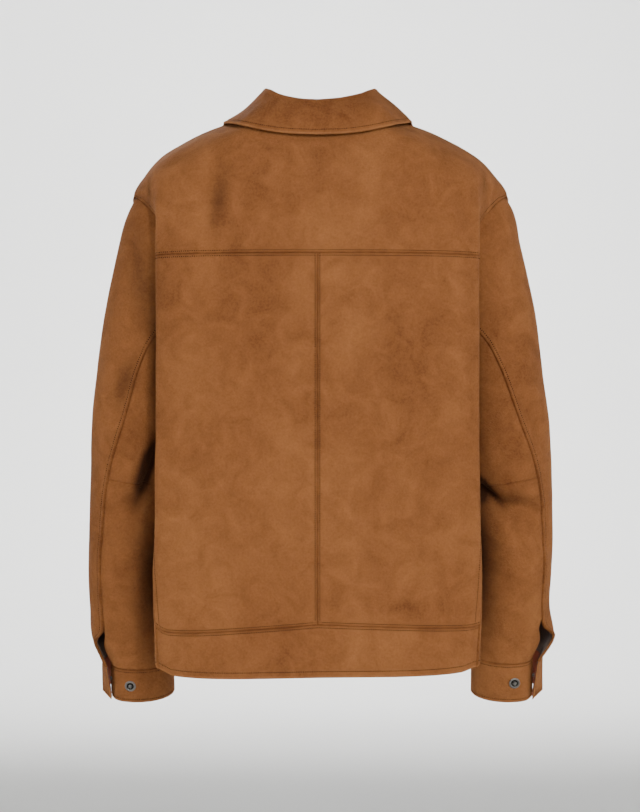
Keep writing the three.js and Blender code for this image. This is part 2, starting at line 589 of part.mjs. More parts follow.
// ---------------------------------------------------------------- the collar
// The neckline: n runs from 0 at centre back to 5 at the shoulder seam and 9 at centre front.
function neckPoint(side, n) {
  if (n <= EDGE_Q) return torsoPoint(side, n, neckBackZ(n), true);
  const share = THREE.MathUtils.clamp((n - NECK_TURN) / (FRONT_Q - NECK_TURN), 0, 1);
  const z = mix(NECK_END, NECK_FRONT, share ** 1.5);
  const q = frontQ(side, Math.max(neckFrontX(z), COLLAR_FRONT_GAP), z);
  return torsoPoint(side, mix(EDGE_Q, q, Math.min((n - EDGE_Q) / (NECK_TURN - EDGE_Q), 1)), z, false);
}

// A point that stands off the torso's outer face, at a distance x from the centre line and a height z.
function overTorso(side, x, z, isBack, lift) {
  let low = isBack ? 0 : EDGE_Q;
  let high = isBack ? EDGE_Q : FRONT_Q;
  for (let i = 0; i < 22; i++) {
    const middle = (low + high) / 2;
    if (torsoPoint(side, middle, z, isBack).x < x === isBack) low = middle;
    else high = middle;
  }
  const alongQ = torsoPoint(side, low + 0.01, z, isBack).sub(torsoPoint(side, low - 0.01, z, isBack));
  const alongZ = torsoPoint(side, low, z - 0.5, isBack).sub(torsoPoint(side, low, z + 0.5, isBack));
  return torsoPoint(side, low, z, isBack).addScaledVector(alongQ.cross(alongZ).normalize(), lift);
}

// The top of the collar's fold at w, carried on past centre back.
function foldPoint(side, w) {
  const row = rowAt(COLLAR, Math.abs(w));
  const share = Math.abs(w);
  const lean = side.collarLean * soft(0, COLLAR_SIDE_W, share) * (1 - soft(COLLAR_SIDE_W, 1, share));
  return vec(Math.sign(w) * (row.foldX + lean), row.foldY, row.foldZ);
}

// The collar's section at w: up the neck side of the stand, over the roll and down the fall.
function collarPoints(side, w) {
  const row = rowAt(COLLAR, w);
  const fold = foldPoint(side, w);
  const edge = overTorso(side, row.edgeX, row.edgeZ, w < COLLAR_SIDE_W, row.lift);
  const along = foldPoint(side, w + 0.03).sub(foldPoint(side, w - 0.03));
  const out = vec(-along.y, along.x, 0).normalize();
  const down = fold.z - COLLAR_ROLL_DROP;
  const inside = fold.clone().addScaledVector(out, -COLLAR_ROLL).setZ(down);
  const outside = fold.clone().addScaledVector(out, COLLAR_ROLL).setZ(down);
  const bulge = row.bulge + side.collarDip * Math.sin(Math.PI * w) ** 2;
  const middle = outside.clone().lerp(edge, 0.5).addScaledVector(out, bulge);
  middle.z += bulge * BULGE_RISE;
  const root = neckPoint(side, row.neck).addScaledVector(out, -FOLDED);
  root.z += STAND_CLEAR;
  return { root, inside, fold, outside, middle, edge };
}

// The collar's face: v is 0 at the neckline, 1 below the roll, 2 on the fold and 5 at the fall's edge.
function collarPoint(u, v) {
  const side = u < 0 ? SIDES.right : SIDES.left;
  const { root, inside, fold, outside, middle, edge } = collarPoints(side, Math.min(Math.abs(u), 1));
  const line = [beyond(inside, root), root, inside, fold, outside, middle, edge, beyond(middle, edge)];
  return mirrored(side, onSpline(line, v));
}

const collarStand = () =>
  cloth("collar_stand", NUBUCK, collarPoint, steps(-1, 1, 28), steps(0, 1, 3), { thick: FOLDED });
const collarFall = () =>
  cloth("collar_fall", NUBUCK, collarPoint, steps(-1, 1, 28), steps(1, 5, 8), { thick: FOLDED });

// ---------------------------------------------------------------- sleeves and cuffs
function sleevePieces(side) {
  const seams = (t) => sleeveSeams(side, t);
  const upperTs = [0, 0.5, 1, 1.7, 2.5, 3.3, 4.1, 4.8, 5.4, 5.9];
  const lowerTs = [7.3, 7.6, 7.9, 8.3, 8.8, 9.4, 10, 10.45, 10.8, 11.2, 11.6, SLEEVE_END];
  const elbowTs = [6.35, 6.7, ELBOW_T];
  const upper = (u, t) =>
    mirrored(side, upperSleevePoint(side, t, mix(seams(t).front, upperEdge(side, t), u)));
  const under = (u, t) =>
    mirrored(side, underSleevePoint(side, t, mix(underEdge(side, t), 360 + seams(t).front, u)));
  const sharedBy = (angleAt) => (u, t) => {
    if (t > 0) return null;
    const angle = angleAt(u);
    return armholeWay(side, armZ(angle), angle > 0 && angle < 180);
  };
  const { back, front } = seams(0);
  const turnedOut = { outward: -side.sign, gaps: [1, 1, 4, 1] };
  const overUs = steps(0, 1, 14);
  const underUs = steps(0, 1, 9);
  const overShared = sharedBy((u) => mix(front, back, u));
  const underShared = sharedBy((u) => mix(back, 360 + front, u));
  return [
    cloth(`sleeve_upper_${side.name}`, NUBUCK, upper, overUs, [...upperTs, ...elbowTs, ...lowerTs],
      { ...turnedOut, shared: overShared }),
    cloth(`sleeve_under_top_${side.name}`, NUBUCK, under, underUs, [...upperTs, ...elbowTs],
      { ...turnedOut, shared: underShared }),
    cloth(`sleeve_under_low_${side.name}`, NUBUCK, under, underUs, [ELBOW_T, ...lowerTs],
      { outward: -side.sign }),
  ];
}

// The cuff's outer face: u in degrees from its underlap round the arm to 360, then millimetres of flap.
function cuffPoint(side, u, v) {
  const at = underSleevePoint(side, SLEEVE_END, Math.min(u, 360));
  at.z -= GAP + v * side.cuffHigh;
  at.y -= v * CUFF_SLANT;
  if (u > 360) at.addScaledVector(flapWay(side, v), u - 360);
  return at;
}

// The cuff, and the smooth facing on its inner face.
function cuffPieces(side) {
  const flap = steps(360, 360 + FLAP_LONG, FLAP_ROWS).slice(1);
  const around = [...steps(side.underEnd, 360, 20), ...flap];
  const face = (u, v) => mirrored(side, cuffPoint(side, u, v));
  return [
    cloth(`cuff_${side.name}`, NUBUCK, face, around, steps(0, 1, 3), { outward: -side.sign }),
    cloth(`cuff_facing_${side.name}`, FACING_TAN, face, around.slice(1), steps(FACING.top, FACING.foot, 3), {
      outward: -side.sign, thick: LINING, raise: -CLOTH - GAP, gaps: [1, FACING.endGap, 1, 1],
    }),
  ];
}

// The lining that shows inside the vent, on the inner face of the upper sleeve.
function ventLining(side) {
  const face = (u, t) => mirrored(side, upperSleevePoint(side, t, u * upperEdge(side, t)));
  const { from, to, top, foot, under } = LINING_SPAN;
  return cloth(`vent_lining_${side.name}`, LINING_BROWN, face, steps(from, to, 4), steps(top, foot, 4), {
    outward: -side.sign, thick: LINING, raise: -CLOTH - under,
  });
}

// ---------------------------------------------------------------- press studs
// A round metal piece, turned from a profile of [radius, height], standing on a point along a direction.
function turned(name, profile, at, way) {
  const points = profile.map(([r, h]) => new THREE.Vector2(r, h));
  const geometry = new THREE.LatheGeometry(points, SNAP_SIDES);
  const mesh = new THREE.Mesh(
    geometry,
    new THREE.MeshStandardMaterial({ color: GUNMETAL, roughness: 0.35, metalness: 1 }),
  );
  mesh.name = name;
  mesh.position.copy(at).addScaledVector(way, GAP);
  mesh.quaternion.setFromUnitVectors(vec(0, 1, 0), way);
  return mesh;
}

// A point on a face and the direction straight out of it.
function standing(face, u, v, du, dv, outward) {
  const way = face(u + du, v).sub(face(u - du, v)).cross(face(u, v + dv).sub(face(u, v - dv)));
  return { at: face(u, v), way: way.normalize().multiplyScalar(outward) };
}

function cuffSnaps(side) {
  const face = (u, v) => mirrored(side, cuffPoint(side, u, v));
  const socket = standing(face, CUFF_SOCKET.angle, CUFF_SOCKET.share, 0.5, 0.01, -side.sign);
  const ball = standing(face, 360 + FLAP_LONG - CUFF_BALL.fromEnd, CUFF_BALL.share, 0.5, 0.01, -side.sign);
  const inside = ball.at.clone().addScaledVector(ball.way, -CLOTH - GAP - LINING);
  return [
    turned(`snap_socket_${side.name}`, SOCKET, socket.at, socket.way),
    turned(`snap_ball_${side.name}`, BALL, inside, ball.way.clone().negate()),
  ];
}

function frontSnaps() {
  const face = (x, z) => torsoPoint(SIDES.left, frontQ(SIDES.left, Math.abs(x), z), z, false);
  return Array.from({ length: FRONT_SNAPS.count }, (_, i) => {
    const z = FRONT_SNAPS.top + i * FRONT_SNAPS.step;
    const at = face(0, z);
    const down = face(0, z + 2).sub(face(0, z - 2)).normalize();
    return turned(`snap_cap_${i + 1}`, CAP, at, vec(0, -down.z, down.y));
  });
}

// ---------------------------------------------------------------- the jacket
const jacket = new THREE.Group();
jacket.name = "jacket";
jacket.add(backYoke(), backBand(), collarFall(), collarStand());
jacket.add(frontStrip("placket_left", -PLACKET_HALF, PLACKET_HALF, 0));
const underFrom = -PLACKET_HALF - PLACKET_SPREAD;
jacket.add(frontStrip("placket_right", underFrom, PLACKET_HALF - PLACKET_SHY, -CLOTH - PLACKET_UNDER));
jacket.add(...frontSnaps());
for (const side of Object.values(SIDES)) {
  jacket.add(backPanel(side), frontPanel(side));
  jacket.add(...sleevePieces(side), ...cuffPieces(side), ventLining(side));
  jacket.add(...cuffSnaps(side));
}

export default jacket;
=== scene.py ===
"""A nubuck blouson jacket, filled out as if worn, dressed for rendering round its CAD frame.

Sizes are in millimetres until a mesh is made. +Z is up, +Y is the jacket's back and +X the wearer's left.
Each cut piece is a shell on the form of its CAD solid: the same sections and seams, with a fine grid,
rolled seam edges, pressed stitch rows, creases and a soft unevenness.
"""
import math
from types import SimpleNamespace

import bpy
import numpy as np
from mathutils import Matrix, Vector


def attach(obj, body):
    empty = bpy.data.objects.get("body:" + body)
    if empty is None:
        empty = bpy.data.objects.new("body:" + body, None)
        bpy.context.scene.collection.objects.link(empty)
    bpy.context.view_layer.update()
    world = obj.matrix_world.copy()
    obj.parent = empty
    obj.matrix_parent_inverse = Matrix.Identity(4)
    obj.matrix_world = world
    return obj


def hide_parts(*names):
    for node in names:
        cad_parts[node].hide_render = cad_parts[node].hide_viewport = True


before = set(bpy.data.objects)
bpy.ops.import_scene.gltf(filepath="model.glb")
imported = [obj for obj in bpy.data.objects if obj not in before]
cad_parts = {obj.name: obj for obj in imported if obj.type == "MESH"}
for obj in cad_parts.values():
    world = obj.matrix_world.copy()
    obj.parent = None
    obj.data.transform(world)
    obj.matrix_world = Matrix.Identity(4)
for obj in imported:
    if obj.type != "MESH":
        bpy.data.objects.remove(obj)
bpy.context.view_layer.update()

MM = 0.001
CELL = 3.4  # the grid's cell on open cloth
CLOTH = 2.0  # wall of one panel
FOLDED = 2.6  # wall of a piece that is sewn double
LINING = 1.0

SIDES = {
    "left": SimpleNamespace(
        name="left", sign=1, lean=-1, hem_sag=2.5, hem_side=-667, hem_turn=0.25, band_sag=10,
        collar_lean=-3, collar_dip=-4, sleeve_rise=0, seam_turn=4,
        under_end=10, cuff_high=41, flap_top=-14, flap_foot=-25, vent_narrow=0.5, vent_flare=0,
        crease_drop=0,
    ),
    "right": SimpleNamespace(
        name="right", sign=-1, lean=1, hem_sag=-1, hem_side=-665, hem_turn=0.25, band_sag=4,
        collar_lean=4, collar_dip=0, sleeve_rise=7, seam_turn=-5,
        under_end=20, cuff_high=48, flap_top=-14, flap_foot=-29, vent_narrow=0.55, vent_flare=8,
        crease_drop=16,
    ),
}


# -------------------- tables and curves
def table(names, rows):
    """A table with named columns, to be read smoothly along its first one."""
    rows = np.array(sorted(rows), float)
    return SimpleNamespace(columns=names.split()[1:], x=rows[:, 0], y=rows[:, 1:])


def hermite(a, b, slope_a, slope_b, s):
    s2, s3 = s * s, s * s * s
    start = (2 * s3 - 3 * s2 + 1) * a + (s3 - 2 * s2 + s) * slope_a
    return start + (3 * s2 - 2 * s3) * b + (s3 - s2) * slope_b


def row_at(rows, at):
    """The table's columns at any values of its first one."""
    x, y = rows.x, rows.y
    at = np.clip(np.asarray(at, float), x[0], x[-1])
    i = np.clip(np.searchsorted(x, at) - 1, 0, len(x) - 2)
    before, after = np.maximum(i - 1, 0), np.minimum(i + 2, len(x) - 1)
    span = (x[i + 1] - x[i])[..., None]
    low = (y[i + 1] - y[before]) / (x[i + 1] - x[before])[..., None] * span
    high = (y[after] - y[i]) / (x[after] - x[i])[..., None] * span
    values = hermite(y[i], y[i + 1], low, high, (at - x[i])[..., None] / span)
    return SimpleNamespace(**{name: values[..., k] for k, name in enumerate(rows.columns)})


def vec(x, y, z):
    return np.stack(np.broadcast_arrays(x, y, z), -1).astype(float)


def mix(a, b, s):
    return a + (b - a) * s


def soft(low, high, x):
    s = np.clip((np.asarray(x, float) - low) / (high - low), 0, 1)
    return s * s * (3 - 2 * s)


def beyond(a, b):
    return 2 * b - a


def unit(v):
    return v / np.maximum(np.linalg.norm(v, axis=-1, keepdims=True), 1e-9)


def run_along(p):
    """Length along rows of points, from the first row."""
    return np.linalg.norm(np.diff(p, axis=0, prepend=p[:1]), axis=-1).cumsum(0)


def on_spline(points, q):
    """Points on smooth curves through points[1] to points[-2], at q counted in points from points[1]."""
    points = np.stack([np.broadcast_to(p, q.shape + (3,)) for p in points])
    i = np.clip(np.floor(q).astype(int), 0, len(points) - 4)
    n = np.arange(len(q))
    a, b, c, d = (points[i + k, n] for k in range(4))
    far = [np.sqrt(np.linalg.norm(f - e, axis=-1, keepdims=True)) + 1e-6 for e, f in ((a, b), (b, c), (c, d))]

    def slope(p, r, s, before, after):
        return ((r - p) / before - (s - p) / (before + after) + (s - r) / after) * far[1]

    s = (q - i)[:, None]
    return hermite(b, c, slope(a, b, c, far[0], far[1]), slope(b, c, d, far[1], far[2]), s)


# -------------------- the torso, as level sections
TORSO = table(
    "z backY crestX crestY tuckX tuckY edgeX edgeY sideX sideY cornerX cornerY frontY",
    [
        [0, 58, 66, 31, 75, 16, 80, 0, 73, -18, 60, -34, -58],
        [-15, 66, 101, 40, 117, 22, 127, 0, 110, -26, 88, -46, -69],
        [-30, 75, 133, 48, 150, 27, 159, 0, 138, -32, 108, -56, -78],
        [-50, 85, 162, 59, 182, 34, 192, 1, 167, -38, 130, -66, -88],
        [-72, 92, 182, 68, 199, 46, 212, 2, 185, -43, 146, -75, -96],
        [-97, 98, 191, 72, 199, 54, 226, 4, 202, -47, 158, -82, -103],
        [-140, 103, 194, 74, 192, 60, 208, 4, 194, -70, 158, -92, -111],
        [-190, 105, 194, 76, 187, 63, 180, 0, 176, -84, 146, -101, -117],
        [-240, 105, 194, 76, 184, 62, 160, -10, 160, -82, 136, -104, -120],
        [-290, 103, 194, 75, 181, 60, 150, -22, 150, -66, 130, -102, -121],
        [-340, 101, 194, 75, 180, 57, 142, -22, 143, -64, 127, -100, -120],
        [-400, 98, 194, 74, 180, 54, 140, -22, 141, -64, 125, -98, -118],
        [-480, 95, 195, 72, 181, 50, 140, -22, 141, -64, 124, -97, -116],
        [-580, 93, 196, 66, 184, 42, 147, -24, 144, -66, 123, -97, -115],
        [-690, 94, 195, 52, 184, 26, 154, -26, 144, -68, 120, -98, -115],
    ],
)
CREST_Q = 3
EDGE_Q = 5
FRONT_Q = 9
CREST_U = CREST_Q / EDGE_Q
CREST_SHARE = 0.84  # how far towards the side seam the crest may come
BLADE_ACROSS, BLADE_DROP = 0.48, 0.05
TURN_ACROSS, TURN_DROP = 0.82, 0.3
CHEST_ACROSS, CHEST_DROP = 0.55, 0.14

ARM_TOP = -97
ARM_PIT = -290
SHOULDER_LEAN = 4
NECK_BACK = -15
NECK_FRONT = -80
NECK_HALF = 77
NECK_END = 0
NECK_SLOPE, NECK_ROUND = 1.5, 2.2
PLACKET_HALF = 18
HALVINGS = 20  # of the search for a place on a section

SIDE_SEAM = table(
    "z q", [[-290, 5], [-350, 4.45], [-430, 3.9], [-510, 3.4], [-575, 3.02], [-620, 2.86], [-690, 2.7]]
)

# -------------------- the sleeve, as slanting rings
SLEEVE = table(
    "t outX outY outZ inX inY inZ centreY halfY backX frontX drop lean",
    [
        [0, 226, 4, -97, 150, -22, -290, -12, 56, -33, 4, 0, 4],
        [1, 238, 1, -126, 158, -23, -298, -14, 55, -20, 3, 0, 4],
        [2, 246, -3, -160, 162, -24, -309, -16, 56, -10, 2, 1, 3],
        [3, 257, -7, -206, 165, -25, -326, -18, 57, -4, 1, 2, 3],
        [4, 266, -11, -256, 167, -26, -348, -20, 57, 0, 0, 4, 3],
        [5, 273, -15, -311, 168, -28, -374, -22, 56, 0, 0, 6, 3],
        [6, 280, -20, -370, 169, -31, -408, -25, 54, 0, 0, 8, 4],
        [7, 283, -26, -430, 170, -35, -446, -29, 51, 0, 0, 8, 4],
        [8, 285, -33, -490, 172, -41, -494, -36, 47, 0, 0, 9, 4],
        [9, 286, -41, -550, 176, -48, -550, -44, 43, 0, 0, 10, 3],
        [10, 284, -49, -600, 181, -55, -600, -52, 39, 0, 0, 11, 3],
        [11, 285, -56, -636, 184, -61, -636, -58, 37, 0, 0, 12, 6],
        [12, 273, -61, -664, 184, -65, -664, -63, 35, 0, 0, 12, 6],
    ],
)
SLEEVE_END = 12
CAP_INSET = 1.1
CAP_INSET_END = 0.6
INSET_DROP = 0.3
ELBOW_T = 7
VENT_T = 10.45
VENT_WIDEST = 11.15
VENT_REACH = 0.94
TUCK = 10.5
TUCK_END = 72
TUCK_RISE = 0.3

SLEEVE_SEAMS = table(
    "t back front",
    [
        [0, 122, -120], [3, 95, -124], [4, 88, -126], [5, 78, -126], [6, 66, -126], [7, 52, -126],
        [8, 42, -126], [9, 43, -126], [12, 44, -126],
    ],
)

SEAM_TURNS = 2.5, 7.5  # t over which the back seam turns with its arm

# Troughs over the sleeve, from (t, angle) to (t, angle): depth and width; angle 0 is outermost, 90 the back.
SLEEVE_FOLDS = [
    (6.9, 152, 8.05, 52, 13, 0.42),
    (8.1, 168, 9.1, 108, 7, 0.4),
    (5.2, 68, 6.35, 28, 4, 0.34),
    (6.6, -60, 7.3, -150, 9, 0.4),
    (7.9, -40, 8.3, -130, 6, 0.36),
]
FOLD_ANGLE_SCALE = 52
FOLD_ENDS = 0.14, 0.9  # shares of a half wave that a fold runs through

CUFF_SLANT = 12
FLAP_LONG = 27
FLAP_DROP = 0.33

STAND_CLEAR = 1.8
COLLAR_ROLL = 5.4
COLLAR_ROLL_DROP = 5
COLLAR = table(
    "w neck foldX foldY foldZ edgeX edgeZ lift bulge",
    [
        [0, 0, 0, 64, 17, 0, -31, 8, 4],
        [0.14, 0.75, 25, 61, 19, 44, -28, 7, 4],
        [0.28, 1.75, 48, 50, 25, 84, -20, 6, 4],
        [0.4, 3.2, 61, 29, 32, 107, -13, 5, 1],
        [0.5, 5, 67, 3, 35, 114, -11, 5, 1],
        [0.62, 5.73, 66, -22, 26, 118, -24, 5, 2],
        [0.76, 6.85, 60, -54, 5, 110, -52, 6, 4],
        [0.9, 8.15, 50, -84, -28, 88, -92, 7, 5],
        [1, 8.96, 9, -94, -54, 58, -116, 6, 4],
    ],
)
COLLAR_SIDE_W = 0.5
NECK_TURN = 5.3
COLLAR_FRONT_GAP = 3
BULGE_RISE = 0.6
NEAR_Q, NEAR_Z, NEAR_W = 0.01, 0.5, 0.03  # small steps, to find which way a surface or the fold runs

YOKE_MIDDLE = -169
YOKE_ANGLE = 80
BAND_MIDDLE, BAND_SIDE = -612.5, -613.5
HEM_BACK, HEM_FRONT = -675.5, -668
HEM_REACH = 130
HEM_TURN_END = 1.05
HEM_RISE, HEM_RISE_FROM, HEM_RISE_TO = 8, 2.7, 3.3


# -------------------- surfaces
def sleeve_seams(side, t):
    row = row_at(SLEEVE_SEAMS, t)
    return row.back + side.seam_turn * soft(*SEAM_TURNS, t), row.front


def sleeve_row(side, t):
    row = row_at(SLEEVE, t)
    lean = side.lean * row.lean
    rise = side.sleeve_rise * soft(ELBOW_T, SLEEVE_END, t)
    out = vec(row.outX + lean, row.outY, row.outZ + rise)
    inner = vec(row.inX + lean * soft(ELBOW_T, SLEEVE_END, t), row.inY, row.inZ + rise)
    middle = (out + inner) / 2
    back = vec(middle[..., 0] + row.backX, row.centreY + row.halfY, middle[..., 2] - row.drop)
    front = vec(middle[..., 0] + row.frontX, row.centreY - row.halfY, middle[..., 2] + row.drop)
    return out, inner, middle, back, front


def sleeve_ring(side, t, angle):
    out, inner, middle, back, front = sleeve_row(side, t)
    c = np.cos(np.radians(angle))[..., None]
    s = np.sin(np.radians(angle))[..., None]
    return middle * c * c + (back + front) / 2 * s * s + (out - inner) / 2 * c + (back - front) / 2 * s


def fold_depth(t, angle):
    """How deep the sleeve's main folds are."""
    depth = 0
    for from_t, from_angle, to_t, to_angle, deep, wide in SLEEVE_FOLDS:
        along_t = to_t - from_t
        along_a = (to_angle - from_angle) / FOLD_ANGLE_SCALE
        d_t = t - from_t
        d_a = (angle - from_angle) / FOLD_ANGLE_SCALE
        s = np.clip((d_t * along_t + d_a * along_a) / (along_t**2 + along_a**2), 0, 1)
        off = np.hypot(d_t - s * along_t, d_a - s * along_a)
        depth = depth + deep * np.sin(np.pi * mix(*FOLD_ENDS, s)) * np.exp(-((off / wide) ** 2))
    return depth


def flap_way(side, share):
    turn = np.radians(mix(side.flap_top, side.flap_foot, share))
    return vec(np.sin(turn), np.cos(turn), -FLAP_DROP)


def sleeve_point(side, t, angle):
    ring = sleeve_ring(side, t, angle)
    middle = sleeve_row(side, t)[2]
    folds = fold_depth(t, angle) + fold_depth(t, angle - 360)
    inset = CAP_INSET * (1 - soft(0, CAP_INSET_END, t)) + folds
    inwards = middle - ring
    inwards[..., 2] *= INSET_DROP
    return ring + unit(inwards) * inset[..., None]


def vent_shape(t):
    """1 where the vent's free edge stands furthest open, and 0 at the vent's two ends."""
    return soft(VENT_T, VENT_WIDEST, t) * (1 - soft(VENT_WIDEST, SLEEVE_END, t))


def upper_edge(side, t):
    return sleeve_seams(side, t)[0] * (1 - side.vent_narrow * vent_shape(t))


def under_edge(side, t):
    return mix(sleeve_seams(side, t)[0], side.under_end, soft(VENT_T, SLEEVE_END, t))


def levelled(v):
    """The level direction of v."""
    return unit(v * np.array([1.0, 1.0, 0.0]))


def upper_sleeve_point(side, t, angle):
    """The upper sleeve parts from the ring below the vent's top and follows the cuff's flap."""
    at = sleeve_point(side, t, angle)
    share = np.maximum(angle / sleeve_seams(side, t)[0], 0)[..., None]
    opened = soft(VENT_T, SLEEVE_END, t)[..., None] * (share > 0)
    outwards = levelled(at - sleeve_row(side, t)[2])
    along = flap_way(side, np.zeros_like(t)) * VENT_REACH * FLAP_LONG * share
    at = mix(at, sleeve_ring(side, t, np.zeros_like(t)) + along, opened)
    return at + outwards * side.vent_flare * vent_shape(t)[..., None] * share


def under_sleeve_point(side, t, angle):
    """The undersleeve and the cuff pass under the flap beside the vent."""
    at = sleeve_point(side, t, angle)
    grown = soft(VENT_T - TUCK_RISE, VENT_T + TUCK_RISE, t)
    tuck = TUCK * grown * (1 - soft(side.under_end, TUCK_END, angle))
    return at + levelled(sleeve_row(side, t)[2] - at) * tuck[..., None]


def armhole_edge(side, z, is_back):
    out, inner = (p[2] for p in sleeve_row(side, 0.0)[:2])
    middle = (out + inner) / 2
    angle = np.degrees(np.arccos(np.clip((z - middle) / (out - middle), -1, 1)))
    return sleeve_ring(side, np.zeros_like(z), np.where(is_back, angle, -angle))


def torso_point(side, q, z, is_back=None):
    """The torso's outer face on the +X side: q runs from 0, centre back, to 9, centre front."""
    q, z = (np.array(a, float).ravel() for a in np.broadcast_arrays(q, z))
    is_back = q < EDGE_Q if is_back is None else np.broadcast_to(is_back, q.shape)
    row = row_at(TORSO, z)
    back = row.backY - row.crestY
    front = row.cornerY - row.frontY
    lean = side.lean * SHOULDER_LEAN * (1 - soft(ARM_TOP, NECK_END, z)) * (z > ARM_PIT)
    blade = vec(BLADE_ACROSS * row.crestX, row.backY - BLADE_DROP * back, z)
    turn = vec(TURN_ACROSS * row.crestX, row.backY - TURN_DROP * back, z)
    chest = vec(CHEST_ACROSS * row.cornerX, row.frontY + CHEST_DROP * front, z)
    crest, tuck = vec(row.crestX, row.crestY, z), vec(row.tuckX, row.tuckY, z)
    flank, corner = vec(row.sideX, row.sideY, z), vec(row.cornerX, row.cornerY, z)
    flip = np.array([-1.0, 1, 1])
    behind = [blade * flip, vec(0, row.backY, z), blade, turn, crest, tuck]
    ahead = [flank, corner, chest, vec(0, row.frontY, z), chest * flip]
    whole = (z >= ARM_TOP) | (z <= ARM_PIT)
    at_whole = on_spline([*behind, vec(row.edgeX + lean, row.edgeY, z), *ahead], q)
    edge = armhole_edge(side, z, is_back)
    at_back = on_spline([*behind, edge, beyond(tuck, edge)], np.minimum(q, EDGE_Q))
    at_front = on_spline([beyond(flank, edge), edge, *ahead], np.maximum(q, EDGE_Q) - EDGE_Q)
    at_arm = np.where(is_back[:, None], at_back, at_front)
    return np.where(whole[:, None], at_whole, at_arm)


def q_of_x(side, x, z, is_back):
    """The q at which the section reaches a distance x from the centre line."""
    x, z = (np.array(a, float).ravel() for a in np.broadcast_arrays(x, z))
    low = np.where(is_back, 0.0, EDGE_Q) + 0 * x
    high = np.where(is_back, EDGE_Q, FRONT_Q) + 0 * x
    for _ in range(HALVINGS):
        middle = (low + high) / 2
        short = (torso_point(side, middle, z, is_back)[:, 0] < x) == is_back
        low = np.where(short, middle, low)
        high = np.where(short, high, middle)
    return (low + high) / 2


def arm_z(angle):
    return mix(ARM_PIT, ARM_TOP, (1 + np.cos(np.radians(angle))) / 2)


YOKE_SIDE = float(arm_z(YOKE_ANGLE))


def seam_q(z):
    return row_at(SIDE_SEAM, z).q


def neck_back_z(q):
    return mix(NECK_BACK, NECK_END, 1 - (1 - np.clip(q / EDGE_Q, 0, 1)) ** NECK_SLOPE)


def neck_front_x(z):
    return NECK_HALF * np.sqrt(1 - np.clip(z / NECK_FRONT, 0, 1) ** NECK_ROUND)


def neck_front_z(x):
    return NECK_FRONT * (1 - (x / NECK_HALF) ** 2) ** (1 / NECK_ROUND)


def yoke_z(q):
    return mix(YOKE_MIDDLE, YOKE_SIDE, (q / EDGE_Q) ** 2)


def back_q(u, seam):
    crest = np.minimum(CREST_Q, CREST_SHARE * seam)
    return np.where(u < CREST_U, u / CREST_U * crest, mix(crest, seam, (u - CREST_U) / (1 - CREST_U)))


def band_z(side, u):
    return mix(BAND_MIDDLE, BAND_SIDE, u) - side.band_sag * np.sin(np.pi * u)


def hem_z(side, u):
    sag = side.hem_sag * np.sin(np.pi * np.minimum(u, 1))
    return mix(HEM_BACK, side.hem_side, soft(side.hem_turn, HEM_TURN_END, u)) - sag


def mirrored(side, at):
    return at * np.array([side.sign, 1.0, 1.0])


def face_of(side, point):
    """The outer face of a piece of one side, from its points on the +X side."""
    return lambda u, v: mirrored(side, point(side, u, v))


def each_side(u, point):
    """Points of a piece that crosses the centre line, from point(side, |u|)."""
    left, right = (mirrored(side, point(side, np.abs(u))) for side in SIDES.values())
    return np.where((u < 0)[:, None], right, left)


def yoke_face(u, v):
    def half(side, a):
        a = np.minimum(a, EDGE_Q)
        return torso_point(side, a, mix(yoke_z(a), neck_back_z(a), v), True)

    return each_side(u, half)


def back_point(side, u, v):
    q = back_q(np.maximum(u, 0), seam_q(mix(BAND_SIDE, YOKE_SIDE, v)))
    return torso_point(side, q, mix(band_z(side, u), yoke_z(u * EDGE_Q), v), True)


def band_face(u, v):
    def half(side, a):
        q = back_q(np.minimum(a, 1), seam_q(mix(hem_z(side, 1), BAND_SIDE, v)))
        return torso_point(side, q, mix(hem_z(side, a), band_z(side, a), v), True)

    return each_side(u, half)


def front_point(side, u, z):
    hem_end = float(hem_z(side, 1))
    levels, of_level = np.unique(z, return_inverse=True)
    inner_x = np.maximum(PLACKET_HALF, neck_front_x(levels))
    inner = q_of_x(side, inner_x, levels, False)[of_level]
    q = mix(seam_q(z), inner, np.maximum(u, 0))
    fall = soft(EDGE_Q, FRONT_Q, q)
    rise = HEM_RISE * soft(HEM_RISE_FROM, HEM_RISE_TO, q) * (1 - fall)
    hem = mix(hem_end, HEM_FRONT, fall) + rise
    at = z + (hem - hem_end) * (1 - soft(hem_end, hem_end + HEM_REACH, z))
    return torso_point(side, q, at, q < EDGE_Q)


def strip_face(from_x, to_x):
    """A strip of the front between two distances from the centre line, from the hem to under the collar."""

    def face(u, v):
        x = mix(from_x, to_x, u)
        z = mix(HEM_FRONT, neck_front_z(x), v)
        return each_side(x, lambda side, a: torso_point(side, q_of_x(side, a, z, False), z, False))

    return face


def neck_point(side, n):
    """The neckline: n runs from 0 at centre back to 5 at the shoulder seam and 9 at centre front."""
    share = np.clip((n - NECK_TURN) / (FRONT_Q - NECK_TURN), 0, 1)
    z = mix(NECK_END, NECK_FRONT, share**NECK_SLOPE)
    q = q_of_x(side, np.maximum(neck_front_x(z), COLLAR_FRONT_GAP), z, False)
    turned = np.clip((n - EDGE_Q) / (NECK_TURN - EDGE_Q), 0, 1)
    ahead = torso_point(side, mix(EDGE_Q, q, turned), z, False)
    behind = torso_point(side, np.minimum(n, EDGE_Q), neck_back_z(n), True)
    return np.where((n <= EDGE_Q)[:, None], behind, ahead)


def over_torso(side, x, z, is_back, lift):
    """A point that stands off the torso's outer face, at a distance x from the centre line and a height z."""
    q = q_of_x(side, x, z, is_back)
    along_q = torso_point(side, q + NEAR_Q, z, is_back) - torso_point(side, q - NEAR_Q, z, is_back)
    along_z = torso_point(side, q, z - NEAR_Z, is_back) - torso_point(side, q, z + NEAR_Z, is_back)
    return torso_point(side, q, z, is_back) + unit(np.cross(along_q, along_z)) * lift[:, None]


